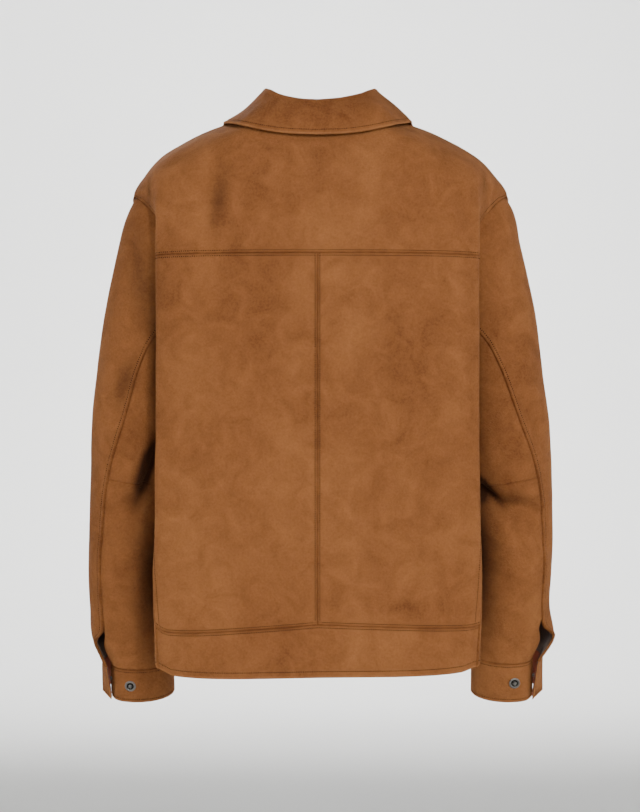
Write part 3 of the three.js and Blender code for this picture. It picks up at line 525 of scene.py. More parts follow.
def fold_point(side, w):
    """The top of the collar's fold at w, carried on past centre back."""
    share = np.abs(w)
    row = row_at(COLLAR, share)
    lean = side.collar_lean * soft(0, COLLAR_SIDE_W, share) * (1 - soft(COLLAR_SIDE_W, 1, share))
    return vec(np.sign(w) * (row.foldX + lean), row.foldY, row.foldZ)


def collar_section(side, w):
    """Points up the neck side of the stand, over the roll and down the fall."""
    row = row_at(COLLAR, w)
    fold = fold_point(side, w)
    edge = over_torso(side, row.edgeX, row.edgeZ, w < COLLAR_SIDE_W, row.lift)
    along = fold_point(side, w + NEAR_W) - fold_point(side, w - NEAR_W)
    out = unit(vec(-along[:, 1], along[:, 0], 0))
    down = np.array([1.0, 1, 0]) * fold + vec(0, 0, fold[:, 2] - COLLAR_ROLL_DROP)
    inside, outside = down - out * COLLAR_ROLL, down + out * COLLAR_ROLL
    bulge = (row.bulge + side.collar_dip * np.sin(np.pi * w) ** 2)[:, None]
    middle = mix(outside, edge, 0.5) + out * bulge + np.array([0, 0, BULGE_RISE]) * bulge
    root = neck_point(side, row.neck) - out * FOLDED + np.array([0, 0, STAND_CLEAR])
    return [beyond(inside, root), root, inside, fold, outside, middle, edge, beyond(middle, edge)]


def collar_face(u, v):
    """V is 0 at the neckline, 1 below the roll, 2 on the fold and 5 at the fall's edge."""
    return each_side(u, lambda side, a: on_spline(collar_section(side, np.minimum(a, 1)), v))


def upper_point(side, u, t):
    return upper_sleeve_point(side, t, mix(sleeve_seams(side, t)[1], upper_edge(side, t), u))


def under_point(side, u, t):
    return under_sleeve_point(side, t, mix(under_edge(side, t), 360 + sleeve_seams(side, t)[1], u))


def cuff_point(side, u, v):
    """U runs in degrees from the underlap round the arm to 360, then in millimetres of flap."""
    at = under_sleeve_point(side, np.full(u.shape, float(SLEEVE_END)), np.minimum(u, 360))
    at[:, 2] -= v * side.cuff_high
    at[:, 1] -= v * CUFF_SLANT
    return at + flap_way(side, v) * np.maximum(u - 360, 0)[:, None]


def vent_point(side, u, t):
    return upper_sleeve_point(side, t, u * upper_edge(side, t))


# -------------------- grids, unevenness and creases
STEPS = 500  # that a length is measured in
END_CELL, END_CELLS, END_GROWTH = 1.0, 9, 1.12  # a grid's cells at its ends grow from the first one


def lines_along(face, axis, start, end, at, cell=CELL):
    """Grid lines from start to end, even in length where the other coordinate is at."""
    steps = np.linspace(start, end, STEPS)
    other = np.full(STEPS, float(at))
    p = face(steps, other) if axis == "u" else face(other, steps)
    run = run_along(p)
    return np.interp(spaced(run[-1], cell), run, steps)


def spaced(length, cell):
    """Distances along a length, about a cell apart, and closer together towards both ends."""
    ends = np.concatenate([[0], np.minimum(END_CELL * END_GROWTH ** np.arange(END_CELLS), cell).cumsum()])
    left = length - 2 * ends[-1]
    if left < 0:
        return np.linspace(0, length, max(int(length / END_CELL), 4) + 1)
    middle = np.linspace(ends[-1], length - ends[-1], max(int(left / cell), 1) + 1)
    return np.concatenate([ends[:-1], middle, (length - ends[:-1])[::-1]])


def lattice(p, seed):
    """Smooth noise from -1 to 1 at points given in lattice steps."""
    base = np.floor(p).astype(np.int64)
    f = p - base
    f = f * f * (3 - 2 * f)
    total = 0
    for corner in np.ndindex(2, 2, 2):
        at = base + np.array(corner)
        hashed = (at[:, 0] * 73856093) ^ (at[:, 1] * 19349663) ^ (at[:, 2] * 83492791) ^ (seed * 2654435761)
        hashed = (hashed ^ (hashed >> 13)) * 1274126177
        value = ((hashed ^ (hashed >> 16)) & 0xFFFF) / 32767.5 - 1
        weight = np.prod(np.where(np.array(corner) == 1, f, 1 - f), axis=1)
        total = total + weight * value
    return total


# Unevenness of the hide: how high, how long, and the place and seed of its noise.
BODY_WAVES = [(0.7, 55, 3, 5), (0.35, 23, 0, 9)]
SLEEVE_WAVES = [(0.8, 48, 11, 7), (0.4, 21, 5, 3)]
COLLAR_WAVES = [(0.5, 34, 7, 13), (0.25, 15, 0, 17)]
CUFF_WAVES = [(0.4, 26, 2, 19)]


def waves(rows, p):
    return sum(high * lattice(p / length + place, seed) for high, length, place, seed in rows)


def relief_of(rows):
    return lambda u, v, p: waves(rows, p)


def creases(rows, x, y):
    """Soft troughs (+) and ridges (-) from (x0, y0) to (x1, y1): depth, width to either side, and bow."""
    depth = np.zeros_like(x)
    for x0, y0, x1, y1, deep, left, right, bow in rows:
        length = math.hypot(x1 - x0, y1 - y0)
        s = ((x - x0) * (x1 - x0) + (y - y0) * (y1 - y0)) / length**2
        off = ((x - x0) * (y1 - y0) - (y - y0) * (x1 - x0)) / length - bow * 4 * s * (1 - s)
        inside = np.clip(s, 0, 1)
        wide = np.where(off < 0, left, right)
        past = (s - inside) * length / (0.5 * (left + right))
        depth += deep * np.exp(-((off / wide) ** 2) - past**2) * np.sin(np.pi * (0.1 + 0.8 * inside))
    return depth


# Creases of the body, in (x, z), and of a sleeve, in (angle, t) as millimetres round it and down it.
BACK_CREASES = [
    # x0   z0    x1   z1   deep left right bow
    (112, -70, 124, -150, 4.6, 9, 13, 5),
    (100, -60, 114, -100, 1.2, 12, 14, 3),
    (172, -84, 190, -150, 1.8, 10, 8, -4),
    (60, -96, 28, -150, 0.7, 14, 18, 6),
    (-96, -70, -132, -150, 1.5, 16, 14, -6),
    (-160, -90, -188, -160, 2.0, 10, 9, 5),
    (-40, -60, -66, -140, 0.8, 16, 20, -5),
    (84, -184, 86, -262, -0.9, 7, 9, 3),
    (150, -200, 168, -330, 1.0, 18, 14, 6),
    (-120, -196, -150, -290, 1.1, 16, 14, -8),
    (120, -330, 66, -470, 0.9, 22, 18, 12),
    (-60, -300, -110, -430, 0.8, 24, 20, -12),
    (40, -380, 24, -520, 0.7, 16, 20, 8),
    (168, -400, 150, -560, 1.2, 16, 22, -8),
    (-164, -380, -140, -540, 1.3, 18, 18, 10),
    (-30, -500, -74, -600, 0.9, 18, 16, -6),
    (100, -520, 130, -600, 0.9, 16, 18, 6),
    (-120, -560, -90, -606, 1.0, 12, 14, 4),
    (140, -622, 60, -640, 0.6, 8, 9, 3),
    (-60, -630, -150, -644, 0.6, 8, 9, -3),
]
FRONT_CREASES = [
    (104, -96, 128, -190, 2.2, 12, 14, 6),
    (-100, -92, -124, -180, 2.0, 14, 12, -6),
    (60, -130, 40, -230, 0.9, 16, 18, 6),
    (-56, -140, -44, -250, 1.0, 18, 16, -7),
    (130, -230, 96, -360, 1.6, 16, 18, 10),
    (-132, -220, -104, -350, 1.7, 18, 16, -9),
    (112, -380, 70, -500, 1.1, 18, 20, 8),
    (-116, -370, -80, -510, 1.2, 20, 18, -10),
    (60, -480, 84, -610, 1.0, 16, 18, -6),
    (-50, -470, -92, -600, 1.0, 18, 16, 7),
    (34, -300, 38, -420, 0.8, 9, 11, 4),
    (-34, -420, -38, -560, 0.8, 10, 9, -4),
]
BACK_FROM, FRONT_FROM = (20, 60), (-20, -70)  # y over which each side's creases grow


def body_relief(u, v, p):
    """How far the body's outer face stands out (+) or lies in (-), at points of the torso."""
    x, y, z = p.T
    behind = soft(*BACK_FROM, y) * creases(BACK_CREASES, x, z)
    ahead = soft(*FRONT_FROM, y) * creases(FRONT_CREASES, x, z)
    return waves(BODY_WAVES, p) - behind - ahead


ANGLE_MM = 0.95  # length round a sleeve for one degree
T_MM = 55.0  # length down a sleeve for one step of t

SLEEVE_CREASES = [
    # around  down   around  down  deep left right bow
    (20, 60, 52, 150, 1.6, 9, 12, 5),
    (86, 190, 60, 290, 2.4, 12, 16, -8),
    (124, 474, 66, 496, 2.2, 7, 9, -4),
    (70, 520, 40, 566, 1.6, 8, 10, 5),
    (112, 560, 78, 612, 1.5, 8, 10, 4),
    (30, 430, 12, 500, 1.1, 10, 12, -5),
    (-10, 120, -34, 260, 1.4, 14, 16, 7),
    (-40, 330, -80, 400, 2.2, 10, 12, -6),
    (-60, 430, -110, 470, 2.0, 8, 10, 4),
    (-30, 520, -76, 600, 1.5, 10, 12, 6),
    (150, 250, 134, 330, 2.0, 9, 10, 4),
    (176, 430, 150, 500, 2.6, 9, 10, -4),
]
# The sharp creases inside each elbow.
ELBOW_CREASES = {
    "left": [
        (118, 318, 92, 422, 8.5, 8, 7, 4),
        (122, 408, 44, 440, -3.4, 7, 10, 5),
        (120, 440, 62, 474, 3.6, 7, 11, 6),
        (84, 250, 64, 318, 3.0, 10, 9, -5),
    ],
    "right": [
        (130, 378, 88, 412, 8.0, 5, 8, 3),
        (126, 362, 74, 396, -2.6, 8, 6, 3),
        (90, 410, 34, 432, 3.4, 6, 10, -4),
        (128, 446, 84, 470, 2.6, 7, 9, 5),
        (40, 452, 22, 470, 1.8, 6, 8, 2),
    ],
}


def sleeve_relief(side, t, angle, p):
    """How far a sleeve's outer face stands out or lies in."""
    around, down = angle * ANGLE_MM, t * T_MM
    depth = creases(ELBOW_CREASES[side.name], around, down)
    for turn in (0, 360 * ANGLE_MM):
        depth += creases(SLEEVE_CREASES, around - turn, down - side.crease_drop)
    return waves(SLEEVE_WAVES, p) - depth


# -------------------- cloth
EDGES = ("u0", "u1", "v0", "v1")
# How each kind of edge ends: its roll down and how wide that is, its reach past the cut line, its lift over
# the next piece, and how dark the seam lies.
SEAM = SimpleNamespace(roll=1.4, wide=1.2, reach=0.3, lift=0.0, dark=0.42)
JOIN = SimpleNamespace(roll=0.8, wide=1.0, reach=0.3, lift=0.0, dark=0.2)
LAP = SimpleNamespace(roll=0.9, wide=1.0, reach=1.2, lift=1.5, dark=0.3)
UNDER = SimpleNamespace(roll=2.0, wide=3.4, reach=2.5, lift=0.0, dark=0.5)
FREE = SimpleNamespace(roll=0.0, wide=1.2, reach=0.0, lift=0.0, dark=0.0)  # turned, and rounded on both faces
CALM_REACH = 16
LIFT_REACH = 9  # over this length a lapping edge rises
PRESS_DEEP, PRESS_WIDE, MARK_WIDE = 0.4, 1.0, 1.3  # a stitch row, pressed into the cloth and marked on it
PUCKER, PUCKER_WIDE = 0.22, 6
WAVE_LONG, WAVE_DRIFT, DRIFT_LONG = 1.7, 2.2, 13  # of the pucker along a row
WORN_AT, WORN_WIDE = 1.2, 1.3
SUNK_WIDE = 1.1
EDGE_ROUND = 0.42  # share of the wall that each face of a turned edge falls by


def edge_lengths(p):
    """Length of cloth from each of the four edges, along the grid's lines."""
    du, dv = run_along(p), run_along(p.swapaxes(0, 1)).T
    return {"u0": du, "u1": du[-1:] - du, "v0": dv, "v1": dv[:, -1:] - dv}


def normals_of(p, outward):
    return unit(np.cross(np.gradient(p, axis=0), np.gradient(p, axis=1))) * outward


def rounding(x):
    """From 1 at an edge to 0 at x = 1, as a quarter of a circle falls."""
    return 1 - np.sqrt(1 - (1 - np.clip(x, 0, 1)) ** 2)


def bell(x):
    return np.exp(-(x**2))


def shell(face, us, vs, outward, thick, edges, relief=None, rows=(), raised=0.0, calm=()):
    """The grids of a cloth's two faces. Rows are (edge, distance) of its stitch lines, pressed into it.
    Relief(u, v, points) is its unevenness, which dies away towards its calm edges.
    """
    u, v = (a.ravel() for a in np.meshgrid(us, vs, indexing="ij"))
    shape = (len(us), len(vs))
    p = face(u, v).reshape(shape + (3,))
    far = edge_lengths(p)
    normal = normals_of(p, outward)
    lift = np.full(shape, raised)
    if relief is not None:
        uneven = relief(u, v, p.reshape(-1, 3)).reshape(shape)
        for edge in calm:
            uneven = uneven * soft(0, CALM_REACH, far[edge])
        lift = lift + uneven
    pressed, worn, sunk = (np.zeros(shape) for _ in range(3))
    for edge, at in rows:
        away = far[edge] - at
        along = far["v0" if edge[0] == "u" else "u0"]
        wave = np.sin(along / WAVE_LONG + WAVE_DRIFT * np.sin(along / DRIFT_LONG))
        lift = lift - PRESS_DEEP * bell(away / PRESS_WIDE) + PUCKER * bell(away / PUCKER_WIDE) * wave
        pressed = np.maximum(pressed, bell(away / MARK_WIDE))
    inner = lift - thick
    for edge, kind in edges.items():
        near = rounding(far[edge] / kind.wide)
        lift = lift + kind.lift * (1 - soft(0, LIFT_REACH, far[edge])) - kind.roll * near
        if kind is FREE:
            worn = np.maximum(worn, bell((far[edge] - WORN_AT) / WORN_WIDE))
            lift = lift - EDGE_ROUND * thick * near
            inner = inner + EDGE_ROUND * thick * near
        else:
            sunk = np.maximum(sunk, kind.dark * bell(far[edge] / SUNK_WIDE))
        end, before = (0, 1) if edge[1] == "0" else (-1, -2)
        cloth = p if edge[0] == "u" else p.swapaxes(0, 1)
        cloth[end] += kind.reach * unit(cloth[end] - cloth[before])
    outer = p + normal * lift[..., None]
    return SimpleNamespace(
        outer=outer, inner=p + normal * inner[..., None], normal=normals_of(outer, outward), far=far,
        pressed=pressed.ravel(), worn=worn.ravel(), sunk=sunk.ravel(),
    )


def closed_faces(nu, nv):
    """Quads of the outer face, of the inner face and of the rim of a shell, as three arrays."""

    def at(i, j, layer):
        return layer * nu * nv + i * nv + j

    def quads(*corners):
        return np.stack([at(*corner) for corner in corners], 1)

    i, j = (a.ravel() for a in np.meshgrid(np.arange(nu - 1), np.arange(nv - 1), indexing="ij"))
    a, b, n, m = np.arange(nu - 1), np.arange(nv - 1), nu - 1, nv - 1
    rims = [
        quads((a, 0, 0), (a, 0, 1), (a + 1, 0, 1), (a + 1, 0, 0)),
        quads((a, m, 0), (a + 1, m, 0), (a + 1, m, 1), (a, m, 1)),
        quads((0, b, 0), (0, b + 1, 0), (0, b + 1, 1), (0, b, 1)),
        quads((n, b, 0), (n, b, 1), (n, b + 1, 1), (n, b + 1, 0)),
    ]
    outer = quads((i, j, 0), (i + 1, j, 0), (i + 1, j + 1, 0), (i, j + 1, 0))
    inner = quads((i, j, 1), (i, j + 1, 1), (i + 1, j + 1, 1), (i + 1, j, 1))
    return outer, inner, np.concatenate(rims)


def lathed(profile, sides):
    """A form turned about Z, from its (radius, height): points, faces and the ring that each face ends at."""
    points, faces, rings = [], [], []
    for radius, height in profile:
        for turn in np.arange(sides if radius > 0 else 1) * 2 * math.pi / sides:
            points.append((radius * math.cos(turn), radius * math.sin(turn), height))
    start = 0
    for ring, radii in enumerate(zip(profile, profile[1:]), 1):
        n, m = (sides if radius > 0 else 1 for radius, _ in radii)
        for k in range(sides):
            after = (k + 1) % sides
            corners = (start + k % n, start + after % n, start + n + after % m, start + n + k % m)
            faces.append(tuple(dict.fromkeys(corners)))
            rings.append(ring)
        start += n
    return np.array(points), faces, rings


def mesh_object(name, points, faces, materials, face_slots=None):
    """A smooth mesh in metres from points in millimetres."""
    mesh = bpy.data.meshes.new(name)
    mesh.from_pydata((np.asarray(points) * MM).tolist(), [], [list(map(int, f)) for f in faces])
    for material in materials:
        mesh.materials.append(material)
    if face_slots is not None:
        mesh.polygons.foreach_set("material_index", face_slots)
    mesh.polygons.foreach_set("use_smooth", [True] * len(mesh.polygons))
    mesh.update()
    thing = bpy.data.objects.new(name, mesh)
    bpy.context.scene.collection.objects.link(thing)
    return thing


# -------------------- materials
def srgb(r, g, b):
    """A colour given as it looks on screen, 0 to 255, as linear light."""
    linear = (((c / 255 + 0.055) / 1.055) ** 2.4 if c > 10 else c / 255 / 12.92 for c in (r, g, b))
    return (*linear, 1.0)


MARKS = ("tone_and_shade", "rub", "deep")  # a piece's own values for its tone with painted shade and painted highlights, how worn it is, and how much painted shade lies on it


class Nodes:
    """A material's node tree, built one node at a time."""

    def __init__(self, name):
        self.material = bpy.data.materials.new(name)
        self.material.use_nodes = True
        self.tree = self.material.node_tree
        self.tree.nodes.clear()
        self.shader = self.add("ShaderNodeBsdfPrincipled")
        self.add("ShaderNodeOutputMaterial", {"Surface": self.shader.outputs[0]})
        self.place = self.add("ShaderNodeTexCoord").outputs["Object"]

    def fill(self, node, inputs):
        for key, value in inputs.items():
            if isinstance(value, bpy.types.NodeSocket):
                self.tree.links.new(value, node.inputs[key])
            else:
                node.inputs[key].default_value = value

    def add(self, kind, inputs=None, **settings):
        node = self.tree.nodes.new(kind)
        for key, value in settings.items():
            setattr(node, key, value)
        self.fill(node, inputs or {})
        return node

    def noise(self, scale, detail=3.0, roughness=0.55, distortion=0.0, where=None):
        values = {"Scale": scale, "Detail": detail, "Roughness": roughness, "Distortion": distortion}
        return self.add("ShaderNodeTexNoise", {"Vector": where or self.place, **values}).outputs["Fac"]

    def ramp(self, fac, low, high):
        """Fac from low to high, as 0 to 1."""
        return self.add("ShaderNodeMapRange", {0: fac, 1: low, 2: high}).outputs[0]

    def scaled(self, fac, share):
        return self.add("ShaderNodeMath", {0: fac, 1: share}, operation="MULTIPLY").outputs[0]

    def blend(self, fac, a, b):
        return self.add("ShaderNodeMix", {0: fac, 6: a, 7: b}, data_type="RGBA").outputs[2]

    def clouded(self, scale, dark, light, detail=3.0, low=0.3, high=0.7):
        return self.blend(self.ramp(self.noise(scale, detail), low, high), dark, light)

    def finish(self, colour, bumps=(), **values):
        """The shader's colour, its other values, and its bumps: strength, depth in millimetres and height."""
        below = {}
        for strength, deep, height in bumps:
            bump = {"Strength": strength, "Distance": deep * MM, "Height": height}
            below = {"Normal": self.add("ShaderNodeBump", bump | below).outputs[0]}
        values = {key.replace("_", " "): value for key, value in values.items()}
        self.fill(self.shader, {"Base Color": colour} | below | values)
        return self.material


def nubuck():
    """Napped leather: cloudy where the nap was brushed, lighter and darker in patches that are partly its own
    tone and partly painted shade and painted highlights, near black brown where shade is painted into folds
    and beside the body, rubbed light on its edges.
    """
    n = Nodes("nubuck")
    brushed = {"Vector": n.place, "Rotation": (0.2, 0.35, 0.5), "Scale": (1.0, 1.0, 0.42)}
    strokes = n.add("ShaderNodeMapping", brushed).outputs[0]
    cloud = n.ramp(n.noise(9.0, 4.0, 0.6, 0.6, strokes), 0.32, 0.7)
    blotch = n.ramp(n.noise(34.0, 5.0, 0.62, 0.9), 0.3, 0.72)
    nap = n.ramp(n.noise(420.0, 3.0, 0.7, 0.4), 0.34, 0.66)
    grain = n.noise(1500.0, 2.0, 0.6)
    # The tone mark holds the hide's own tone with painted shade and painted highlights; the deep mark holds
    # painted shade.
    tone_and_shade, rub, deep = (n.add("ShaderNodeAttribute", attribute_name=name).outputs["Fac"] for name in MARKS)
    height = -0.09
    for part, share in ((cloud, 0.32), (blotch, 0.34), (nap, 0.22), (grain, 0.22), (tone_and_shade, 1.0)):
        height = n.add("ShaderNodeMath", {0: part, 1: share, 2: height}, operation="MULTIPLY_ADD").outputs[0]
    colour = n.blend(n.ramp(height, 0.0, 0.5), srgb(96, 55, 28), srgb(130, 82, 46))
    colour = n.blend(n.ramp(height, 0.5, 1.0), colour, srgb(152, 100, 58))
    colour = n.blend(n.scaled(rub, 0.6), colour, srgb(168, 112, 68))
    # Painted shade: where the deep mark is set, the colour goes to a near black brown.
    colour = n.blend(n.scaled(deep, 0.94), colour, srgb(38, 19, 9))
    return n.finish(
        colour, [(0.5, 0.35, grain), (0.6, 0.6, nap), (0.4, 1.2, blotch)],
        Roughness=0.93, Specular_IOR_Level=0.1,
        Sheen_Weight=0.12, Sheen_Roughness=0.5, Sheen_Tint=srgb(214, 150, 96),
    )


def satin():
    """Twill-woven lining with a soft sheen."""
    n = Nodes("lining")
    turned = n.add("ShaderNodeMapping", {"Vector": n.place, "Rotation": (0.0, 0.8, 0.3)}).outputs[0]
    weave = n.add("ShaderNodeTexWave", {"Vector": turned, "Scale": 420.0, "Distortion": 0.6}).outputs["Fac"]
    colour = n.clouded(30.0, srgb(84, 64, 54), srgb(104, 82, 70))
    colour = n.blend(n.scaled(weave, 0.3), colour, srgb(58, 42, 35))
    return n.finish(colour, [(0.25, 0.2, weave)], Roughness=0.7, Sheen_Weight=0.1, Specular_IOR_Level=0.2)


def smooth_leather():
    """Plain-grained leather for the cuffs' inner faces."""
    n = Nodes("facing")
    cells = n.add("ShaderNodeTexVoronoi", {"Vector": n.place, "Scale": 900.0}).outputs["Distance"]
    colour = n.clouded(45.0, srgb(126, 58, 34), srgb(150, 72, 44), 4.0)
    return n.finish(colour, [(0.3, 0.2, cells)], Roughness=0.55, Specular_IOR_Level=0.4)


def metal(name, colour, roughness):
    """Brushed metal with small smudges."""
    n = Nodes(name)
    smudge = n.noise(380.0, 4.0)
    rough = n.add("ShaderNodeMapRange", {0: smudge, 3: roughness - 0.08, 4: roughness + 0.12}).outputs[0]
    return n.finish(n.blend(n.scaled(smudge, 0.5), colour, GUNMETAL), Metallic=1.0, Roughness=rough)


def thread(name, dark, light):
    """Twisted thread, and, in near black, painted shade for the holes that it goes through."""
    n = Nodes(name)
    return n.finish(n.clouded(900.0, dark, light), Roughness=0.85, Specular_IOR_Level=0.1)


def paint():
    """Matt paint, a little uneven over a wide floor."""
    n = Nodes("floor")
    colour = n.clouded(0.6, srgb(244, 244, 243), srgb(250, 250, 249), 3.0, 0.2, 0.8)
    return n.finish(colour, Roughness=0.9, Specular_IOR_Level=0.1)


GUNMETAL = srgb(48, 46, 44)
NUBUCK, SATIN, SMOOTH = nubuck(), satin(), smooth_leather()
METAL, METAL_DARK = metal("stud_metal", srgb(128, 125, 120), 0.3), metal("stud_dark", GUNMETAL, 0.45)
THREAD = thread("thread", srgb(100, 60, 32), srgb(136, 86, 48))
# A flat near-black disc at each needle hole: painted shade for the hole.
HOLE_SHADE = thread("needle_hole_shade", srgb(18, 9, 5), srgb(30, 15, 8))

# Patches of the hide's own lighter and darker tone, and of painted shade in folds and painted highlights
# beside them: centre, half sizes, slant, and how much lighter it is.
TONE_AND_SHADE_PATCHES = [
    # x     z    rx   rz  slant tone
    (118, -112, 15, 46, 0.0, -0.22),
    (138, -104, 10, 40, 0.0, 0.16),
    (94, -110, 9, 40, 0.0, 0.1),
    (-104, -592, 30, 14, 0.0, -0.24),
    (30, -230, 120, 30, 0.0, -0.08),
    (60, -420, 70, 110, 0.0, 0.06),
    (-70, -480, 60, 120, 0.0, 0.05),
    (140, -120, 26, 60, 0.0, 0.08),
    (-60, -90, 60, 30, 0.0, 0.05),
    (0, -140, 80, 24, 0.0, 0.12),
    (-120, -120, 60, 60, 0.0, -0.16),
    (150, -380, 26, 160, 0.0, 0.06),
    (70, -300, 24, 60, 0.0, -0.12),
    (-90, -250, 20, 60, 0.0, -0.14),
    (-120, -300, 30, 90, 0.0, -0.06),
    (172, -100, 14, 40, 0.0, 0.1),
    (234, -250, 40, 110, 0.0, -0.12),
    (250, -500, 40, 120, 0.0, -0.1),
    (-240, -300, 40, 160, 0.0, -0.16),
    (0, 8, 140, 30, 0.0, -0.26),
]
# Painted shade, in the deep of a fold or beside the body: the same, with a share.
PAINTED_SHADES = {
    # x     z    rx   rz  slant share
    "body": [
        (117, -102, 9, 34, -0.16, 0.5),
        (203, -90, 2.2, 24, 0.0, 0.5),
        (-201, -86, 2.2, 24, 0.0, 0.4),
    ],
    "sleeve": [
        (211, -436, 9, 30, -0.28, 1.2),
        (202, -412, 9, 24, -0.3, 0.9),
        (213, -200, 13, 66, 0.12, 0.46),
        (233, -322, 11, 26, -0.3, 0.5),
        (192, -300, 7, 90, 0.0, 0.7),
        (190, -560, 20, 80, 0.0, 1.0),
        (214, -560, 16, 90, 0.0, 0.3),
        (-209, -453, 5, 18, 0.85, 1.2),
        (-200, -456, 7, 13, 0.3, 1.0),
        (-240, -466, 22, 6, 0.0, 0.3),
        (-190, -535, 17, 90, 0.0, 1.2),
        (-208, -560, 16, 90, 0.0, 0.34),
        (-192, -330, 5, 110, 0.0, 0.6),
    ],
}
PATCHES_FROM = -50, -20  # y over which the patches come in


def patches(rows, p):
    """The sum of soft patches over a piece's points; the front of the jacket has none."""
    total = np.zeros(len(p))
    for x, z, rx, rz, slant, share in rows:
        off = p[:, 2] - z
        total += share * np.exp(-(((p[:, 0] - x - slant * off) / rx) ** 2) - (off / rz) ** 2)
    return total * soft(*PATCHES_FROM, p[:, 1])


# -------------------- making the pieces
def put(thing, slot, *nodes):
    """The piece rides with the jacket and stands for its CAD nodes; the slot is not used."""
    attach(thing, "root")
    if nodes:
        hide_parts(*nodes)
    return thing


def cut_size(grid):
    """Width and length of the flat piece, and its area, in metres: cloth bends but hardly stretches."""
    p = grid.outer * MM
    width, length = (run_along(rows)[-1].max() for rows in (p, p.swapaxes(0, 1)))
    a, b = p[1:, 1:] - p[:-1, :-1], p[1:, :-1] - p[:-1, 1:]
    return (width, length), np.linalg.norm(np.cross(a, b), axis=-1).sum() / 2


RUB_LEAST, RUB_MORE, RUB_LONG = 0.25, 0.6, 17  # how strongly and how evenly a turned edge is rubbed
ROW_DARK = 0.05  # how much darker the nap is along a stitch row


def make_cloth(name, node, grid, outside, inside, slot):
    """The closed shell of a cut piece, with its colour marks."""
    outer, inner, rim = closed_faces(*grid.outer.shape[:2])
    faces = np.concatenate([outer, inner, rim])
    on_outside = grid.outer.reshape(-1, 3)
    points = np.concatenate([on_outside, grid.inner.reshape(-1, 3)])
    a, b, c = points[faces[0, :3]]
    if np.dot(np.cross(b - a, c - a), grid.normal[0, 0]) < 0:
        faces = faces[:, ::-1]
    slots = np.repeat([0, 1, 0], [len(outer), len(inner), len(rim)])
    thing = mesh_object(name, points, faces, [outside, inside], slots)
    uneven = 0.5 + 0.5 * lattice(on_outside / RUB_LONG, 21)
    painted_shades = PAINTED_SHADES["sleeve" if node.startswith("sleeve") else "body"]
    marks = (
        # Tone: the hide's own patches with painted shade and painted highlights, the dark seams and the
        # pressed rows.
        patches(TONE_AND_SHADE_PATCHES, on_outside) - grid.sunk - ROW_DARK * grid.pressed,
        grid.worn * (RUB_LEAST + RUB_MORE * uneven),
        # Painted shade in the folds and beside the body.
        np.minimum(patches(painted_shades, on_outside), 1.0),
    )
    for key, value in zip(MARKS, marks):
        both = np.concatenate([value, 0 * value])
        thing.data.attributes.new(key, "FLOAT", "POINT").data.foreach_set("value", both.astype(np.float32))
    put(thing, slot, node)
    flat, area = cut_size(grid)


# -------------------- stitches
PITCH = 2.7
STITCH_LONG = 1.5
STITCH_RINGS = [(-1.0, 0.12, -0.16), (-0.55, 0.28, 0.14), (0.55, 0.28, 0.14), (1.0, 0.12, -0.16)]
STITCH_SIDES = 5
HOLE_HALF = 0.76
HOLE_SIDES = 6
HOLE_HIGH = 0.12  # over the bottom of the pressed row
lines = {}  # the stitch lines of each part of the jacket, as (points, normals)


def inset_line(grid, edge, far):
    """A line on a piece's outer face at a distance from one of its edges."""
    p, n, lengths = grid.outer, grid.normal, grid.far[edge][..., None]
    if edge[0] == "u":
        p, n, lengths = (a.swapaxes(0, 1) for a in (p, n, lengths))
    if edge[1] == "1":
        p, n, lengths = (a[:, ::-1] for a in (p, n, lengths))
    i = np.arange(len(p))
    k = np.clip((lengths[..., 0] < far).sum(1) - 1, 0, p.shape[1] - 2)
    s = (far - lengths[i, k]) / (lengths[i, k + 1] - lengths[i, k])
    return mix(p[i, k], p[i, k + 1], s), unit(mix(n[i, k], n[i, k + 1], s))


def sew(part, grid, edge, far, start, end):
    """Adds a stitch line to a part of the jacket, stopped short of its two ends."""
    points, normals = inset_line(grid, edge, far)
    along = run_along(points)
    count = int((along[-1] - start - end) / PITCH)
    if count < 2:
        return
    at = start + (np.arange(count) + 0.5) * PITCH

    def sample(values, where):
        return np.stack([np.interp(where, along, values[:, k]) for k in range(3)], 1)

    a, b = sample(points, at - STITCH_LONG / 2), sample(points, at + STITCH_LONG / 2)
    lines.setdefault(part, []).append(((a + b) / 2, unit(b - a), unit(sample(normals, at))))


def stitch_form():
    """One stitch, lying along X: rings of (x, half width, height), and a flat disc of painted shade for the
    needle hole that follows it.
    """
    points, faces = [], []
    for x, half, height in STITCH_RINGS:
        for turn in np.arange(STITCH_SIDES) * 2 * math.pi / STITCH_SIDES:
            points.append((x * STITCH_LONG / 2, half * math.cos(turn), height + 0.8 * half * math.sin(turn)))
    last = len(points) - STITCH_SIDES
    for r in range(0, last, STITCH_SIDES):
        for k in range(STITCH_SIDES):
            m = (k + 1) % STITCH_SIDES
            faces.append((r + k, r + m, r + STITCH_SIDES + m, r + STITCH_SIDES + k))
    faces.append(tuple(range(STITCH_SIDES))[::-1])
    faces.append(tuple(range(last, last + STITCH_SIDES)))
    faces.append(tuple(range(len(points), len(points) + HOLE_SIDES)))
    for turn in np.arange(HOLE_SIDES) * 2 * math.pi / HOLE_SIDES:
        points.append((PITCH / 2 + HOLE_HALF * math.cos(turn), 0.9 * HOLE_HALF * math.sin(turn), HOLE_HIGH))
    return np.array(points), faces


def make_stitches(part, rows):
    """All the stitches on a part of the jacket, as one piece."""
    points, faces = stitch_form()
    middles, ways, normals = (np.concatenate(a) for a in zip(*rows))
    across = unit(np.cross(normals, ways))
    normals = unit(np.cross(ways, across))
    placed = (
        middles[:, None] + points[None, :, :1] * ways[:, None] + points[None, :, 1:2] * across[:, None]
        + points[None, :, 2:] * normals[:, None]
    )
    count = len(points)
    all_faces = [tuple(i * count + k for k in f) for i in range(len(middles)) for f in faces]
    slots = ([0] * (len(faces) - 1) + [1]) * len(middles)
    put(mesh_object(f"stitches_{part}", placed.reshape(-1, 3), all_faces, [THREAD, HOLE_SHADE], slots), "nubuck")


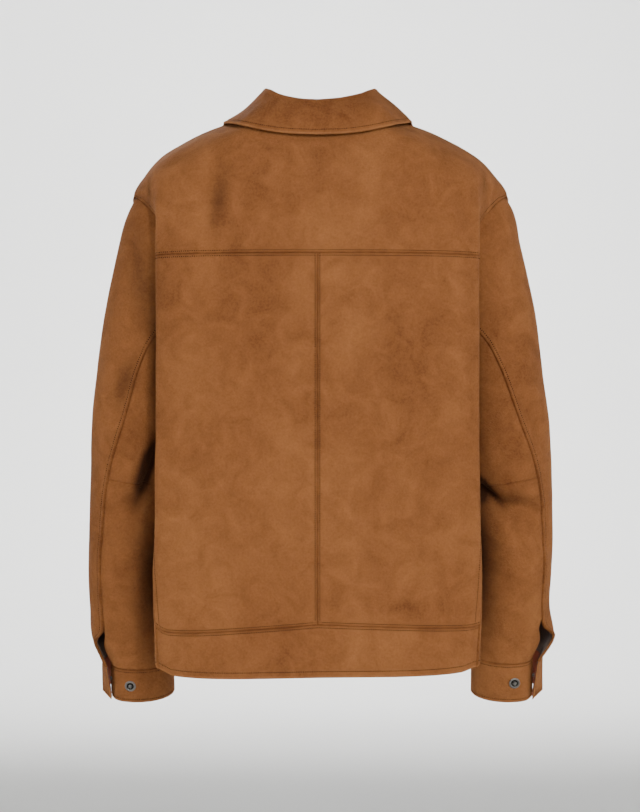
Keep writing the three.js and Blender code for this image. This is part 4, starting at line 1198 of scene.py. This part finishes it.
# -------------------- the body
ALL_FREE = dict.fromkeys(EDGES, FREE)
HEM_ROW, SEAM_ROW, CENTRE_ROW = 7.5, 3.2, 2.8  # a stitch row's distance from a hem or lap and from a seam
PLACKET_ROW, COLLAR_ROW, CUFF_ROW = 5, 6, 3.8
PLACKET_DOWN = CLOTH + 1
PLACKET_UNDERLAP = 8
NECK_LEVELS = [*np.linspace(-79.6, -70, 7), neck_front_z(PLACKET_HALF)]  # where the neckline is nearly level


def cut(name, node, part, face, us, vs, outward, edges, sewn=(), thick=CLOTH, outside=NUBUCK, inside=SATIN,
        slot="nubuck", held="hung", rests_on=(), relief=None, raised=0.0, calm=(), levels=()):
    """A cut piece and its stitch rows. Us and vs say how lines_along makes its grid, and levels adds to vs;
    sewn holds (edge, distance from it, start, end).
    """
    us, vs = lines_along(face, "u", *us), np.unique([*lines_along(face, "v", *vs), *levels])
    grid = shell(face, us, vs, outward, thick, edges, relief, [row[:2] for row in sewn], raised, calm)
    make_cloth(name, node, grid, outside, inside, slot)
    for row in sewn:
        sew(part, grid, *row)


def cut_for(side, kind, part, point, us, vs, *rest, **more):
    """A piece that both sides of the jacket have."""
    end, face = side.name, face_of(side, point)
    cut(f"{kind}_cloth_{end}", f"{kind}_{end}", f"{part}_{end}", face, us, vs, -side.sign, *rest, **more)


cut(
    "yoke_cloth", "back_yoke", "yoke", yoke_face, (-EDGE_Q, EDGE_Q, 0.2), (0, 1, 2.4), -1,
    dict(v0=SEAM, v1=SEAM, u0=LAP, u1=LAP),
    [("v0", SEAM_ROW, 6, 6), ("u0", HEM_ROW, 2, 2), ("u1", HEM_ROW, 2, 2)],
    rests_on=["front_left", "front_right", "collar_stand"], relief=body_relief,
)
cut(
    "band_cloth", "back_band", "band", band_face, (-1, 1, 0.5), (0, 1, 0.4), -1,
    dict(v1=SEAM, v0=FREE, u0=SEAM, u1=SEAM), [("v1", SEAM_ROW, 2, 2), ("v0", HEM_ROW, 1, 1)],
    rests_on=["back_left", "back_right"], relief=body_relief,
)
for side in SIDES.values():
    cut_for(
        side, "back", "back", back_point, (0, 1, 0.4), (0, 1, 0.4), dict(u0=SEAM, u1=LAP, v0=SEAM, v1=SEAM),
        [("u0", CENTRE_ROW, 2, 2), ("v0", SEAM_ROW, 2, 2), ("v1", SEAM_ROW, 2, 6), ("u1", HEM_ROW, 2, 2)],
        rests_on=["back_yoke"], relief=body_relief,
    )
    cut_for(
        side, "front", "front", front_point, (0, 1, -400), (float(hem_z(side, 1)), NECK_END, 0.1),
        dict(u0=LAP, u1=SEAM, v0=FREE, v1=SEAM), [("v0", HEM_ROW, 1, 1), ("u0", HEM_ROW, 2, 2)],
        rests_on=["back_yoke", f"back_{side.name}"], relief=body_relief, levels=NECK_LEVELS,
    )
for end, from_x, to_x, raised, rows in (
    ("left", 0, 0, 0.0, [("u0", PLACKET_ROW, 2, 2), ("u1", PLACKET_ROW, 2, 2), ("v0", HEM_ROW, 6, 6)]),
    ("right", -PLACKET_UNDERLAP, -1, -PLACKET_DOWN, []),
):
    face = strip_face(from_x - PLACKET_HALF, to_x + PLACKET_HALF)
    cut(
        f"placket_cloth_{end}", f"placket_{end}", "plackets", face, (0, 1, 0.5), (0, 1, 0.5), 1,
        ALL_FREE, rows,
        rests_on=["front_left", "front_right"], relief=body_relief, raised=raised,
    )

# -------------------- the collar
cut(
    "collar_fall_cloth", "collar_fall", "collar", collar_face, (-1, 1, 4.5), (1, 5, 0.2, 2.6), 1,
    ALL_FREE | dict(v0=SEAM), [("v1", COLLAR_ROW, 6, 6), ("u0", COLLAR_ROW, 4, 6), ("u1", COLLAR_ROW, 4, 6)],
    thick=FOLDED, inside=NUBUCK, held="folded", rests_on=["collar_stand"], relief=relief_of(COLLAR_WAVES),
)
cut(
    "collar_stand_cloth", "collar_stand", "collar", collar_face, (-1, 1, 0.5), (0, 1, 0.2), 1,
    ALL_FREE | dict(v0=SEAM, v1=SEAM), [("v0", 3, 4, 4)],
    thick=FOLDED, inside=NUBUCK, rests_on=["back_yoke"], relief=relief_of(COLLAR_WAVES),
)


# -------------------- sleeves, cuffs and vents
def relief_between(side, is_under):
    """The unevenness of the upper sleeve or of the undersleeve, from seam to seam."""

    def relief(u, t, p):
        back, front = sleeve_seams(side, t)
        angle = mix(back, 360 + front, u) if is_under else mix(front, back, u)
        return sleeve_relief(side, t, angle, p)

    return relief


CUFF_END = 360 + FLAP_LONG
FACING_START, FACING_END = 12, 1.5  # how far the facing stays inside the cuff's underlap and its flap
for side in SIDES.values():
    upper = f"sleeve_upper_{side.name}"
    cut_for(
        side, "sleeve_upper", "sleeve", upper_point, (0, 1, 5), (0, SLEEVE_END, 0.6),
        dict(u0=SEAM, u1=LAP, v0=UNDER, v1=SEAM), [("u1", 4, 10, 2), ("u0", 4, 10, 2)],
        rests_on=["back_yoke", f"front_{side.name}"], relief=relief_between(side, False), calm=("v0", "v1"),
    )
    for kind, ts, u_at, v0, v1, calm, under in (
        ("sleeve_under_top", (0, ELBOW_T), 4, UNDER, JOIN, "v0", upper),
        ("sleeve_under_low", (ELBOW_T, SLEEVE_END), 9, JOIN, SEAM, "v1", f"sleeve_under_top_{side.name}"),
    ):
        cut_for(
            side, kind, "sleeve", under_point, (0, 1, u_at), (*ts, 0.3),
            dict(u0=UNDER, u1=SEAM, v0=v0, v1=v1),
            rests_on=[under], relief=relief_between(side, True), calm=(calm,),
        )
    cut_for(
        side, "cuff", "cuff", cuff_point, (side.under_end, CUFF_END, 0.5, 2.8), (0, 1, 200, 2.6),
        ALL_FREE | dict(v0=SEAM),
        [("v0", 3.6, 4, 4), *((edge, CUFF_ROW, 4, 4) for edge in ("v1", "u0", "u1"))],
        rests_on=[upper], relief=relief_of(CUFF_WAVES),
    )
    cut_for(
        side, "cuff_facing", "cuff", cuff_point,
        (side.under_end + FACING_START, CUFF_END - FACING_END, 0.5), (0.06, 0.95, 200),
        ALL_FREE, thick=LINING, outside=SMOOTH, inside=SMOOTH, slot="facing", rests_on=[f"cuff_{side.name}"],
        raised=-CLOTH - 0.3,
    )
    cut_for(
        side, "vent_lining", "sleeve", vent_point, (0.1, 0.94, 11), (10.6, 11.7, 0.5),
        ALL_FREE, thick=LINING, outside=SATIN, inside=SATIN, slot="lining", rests_on=[upper],
        raised=-CLOTH - 1.3,
    )

for part, rows in lines.items():
    make_stitches(part, rows)


# -------------------- press studs
STUD_SIDES = 36
STUD_SHARP = math.radians(50)
SOCKET_AT = 80, 0.49
BALL_INSET, BALL_V = 6, 0.42
STUD_GAP = 0.3
STEP_U, STEP_V = 0.5, 0.01  # small steps over a cuff, to find which way its face looks


def standing(face, u, v, outward):
    """A point on a face and the direction straight out of it."""
    at = face(u + STEP_U * np.array([0, 1, -1, 0, 0]), v + STEP_V * np.array([0, 0, 0, 1, -1]))
    return at[0], unit(np.cross(at[1] - at[2], at[3] - at[4])) * outward


def stud(name, profile, at, way, materials):
    """A turned piece from rows of (radius, height, material), standing on a point along a direction."""
    side_way = unit(np.cross(way, [0.0, 0.3, 1.0]))
    points, faces, rings = lathed([row[:2] for row in profile], STUD_SIDES)
    points = at + points @ np.array([side_way, np.cross(way, side_way), way])
    thing = mesh_object(f"stud_{name}", points, faces, materials, [profile[ring][2] for ring in rings])
    thing.data.set_sharp_from_angle(angle=STUD_SHARP)
    put(thing, "press_stud", f"snap_{name}")


SOCKET = [
    (0, 0, 0), (6.7, 0, 0), (6.9, 0.5, 0), (6.6, 1.1, 0), (5.9, 1.5, 0), (5.0, 1.5, 0), (4.4, 1.1, 0),
    (4.1, 0.3, 1), (2.5, 0.2, 1), (2.3, 0.9, 0), (2.1, 2.0, 0), (1.6, 2.5, 0), (0.8, 2.7, 0), (0, 2.7, 0),
]
BALL = [
    (0, 0, 0), (4.6, 0, 0), (4.9, 0.4, 0), (4.6, 0.8, 0), (3.1, 1.0, 1), (2.2, 1.4, 1), (2.0, 1.9, 0),
    (2.4, 2.5, 0), (2.4, 2.9, 0), (2.0, 3.4, 0), (1.1, 3.65, 0), (0, 3.7, 0),
]
CAP = [
    (0, 0, 0), (7.2, 0, 0), (7.5, 0.4, 0), (7.3, 1.0, 0), (6.4, 1.6, 0), (5.0, 1.8, 0), (4.4, 2.2, 0),
    (2.6, 2.6, 0), (0, 2.75, 0),
]
CAP_TOP, CAP_STEP = -104, 106
for side in SIDES.values():
    face = face_of(side, cuff_point)
    at, way = standing(face, *SOCKET_AT, -side.sign)
    stud(f"socket_{side.name}", SOCKET, at + way * STUD_GAP, way, [METAL, METAL_DARK])
    at, way = standing(face, CUFF_END - BALL_INSET, BALL_V, -side.sign)
    stud(f"ball_{side.name}", BALL, at - way * (CLOTH + LINING + STUD_GAP), -way, [METAL, METAL_DARK])
for i in range(6):
    z = CAP_TOP - CAP_STEP * i + np.array([0, 2.0, -2.0])
    at = torso_point(SIDES["left"], q_of_x(SIDES["left"], 0, z, False), z, False)
    down = unit(at[1] - at[2])
    stud(f"cap_{i + 1}", CAP, at[0], np.array([0, -down[2], down[1]]), [METAL_DARK])

# -------------------- floor, camera and light
FLOOR_Z = -1.3
FLOOR_SIDES = 96
FLOOR_REACH, WALL_TURN, WALL_TOP = 7, 2.0, 12
WALL_LAMPS, LAMPS_OUT, LAMPS_HIGH = 8, 5, 3.4
WALL_AIM_OUT, WALL_AIM_HIGH = 8.5, -0.7
MIDDLE = (0, 0, -0.35)


def floor():
    """A wide pale floor, well below the jacket, turning up into a wall far from it."""
    profile = [(radius, FLOOR_Z) for radius in (0, 2, 5, FLOOR_REACH)]
    for turn in np.linspace(0.1, math.pi / 2, 12):
        profile.append((FLOOR_REACH + WALL_TURN * math.sin(turn), FLOOR_Z + WALL_TURN * (1 - math.cos(turn))))
    profile.append((FLOOR_REACH + WALL_TURN, WALL_TOP))
    points, faces, _ = lathed(profile, FLOOR_SIDES)
    mesh_object("floor", points / MM, [face[::-1] for face in faces], [paint()])


def area_light(name, place, aim, size, power, spread=180):
    data = bpy.data.lights.new(name, "AREA")
    data.shape = "DISK"
    data.size = size
    data.energy = power
    data.spread = math.radians(spread)
    lamp = bpy.data.objects.new(name, data)
    lamp.location = place
    lamp.rotation_mode = "QUATERNION"
    lamp.rotation_quaternion = (Vector(aim) - Vector(place)).to_track_quat("-Z", "Y")
    bpy.context.scene.collection.objects.link(lamp)


floor()
area_light("key", (-1.1, 4.6, 1.6), MIDDLE, 1.1, 15, 60)
area_light("front", (1.2, -4.4, 1.3), MIDDLE, 1.8, 15, 60)
area_light("top", (0, 0.8, 3.2), MIDDLE, 1.8, 6)
for turn in range(0, 360, 360 // WALL_LAMPS):
    x, y = math.sin(math.radians(turn)), math.cos(math.radians(turn))
    aim = (WALL_AIM_OUT * x, WALL_AIM_OUT * y, WALL_AIM_HIGH)
    area_light(f"wall_{turn}", (LAMPS_OUT * x, LAMPS_OUT * y, LAMPS_HIGH), aim, 1.2, 150, 100)

world = bpy.data.worlds.new("studio")
world.use_nodes = True
background = world.node_tree.nodes["Background"]
background.inputs["Color"].default_value = (1.0, 1.0, 1.0, 1.0)
background.inputs["Strength"].default_value = 0.12
bpy.context.scene.world = world

lens = bpy.data.cameras.new("camera")
lens.lens = 145.4
lens.sensor_width = 36
lens.clip_end = 100
camera = bpy.data.objects.new("camera", lens)
camera.location = (-0.003, 4.0, -0.3515)
camera.rotation_euler = (math.radians(90), 0, math.radians(180))
bpy.context.scene.collection.objects.link(camera)
bpy.context.scene.camera = camera
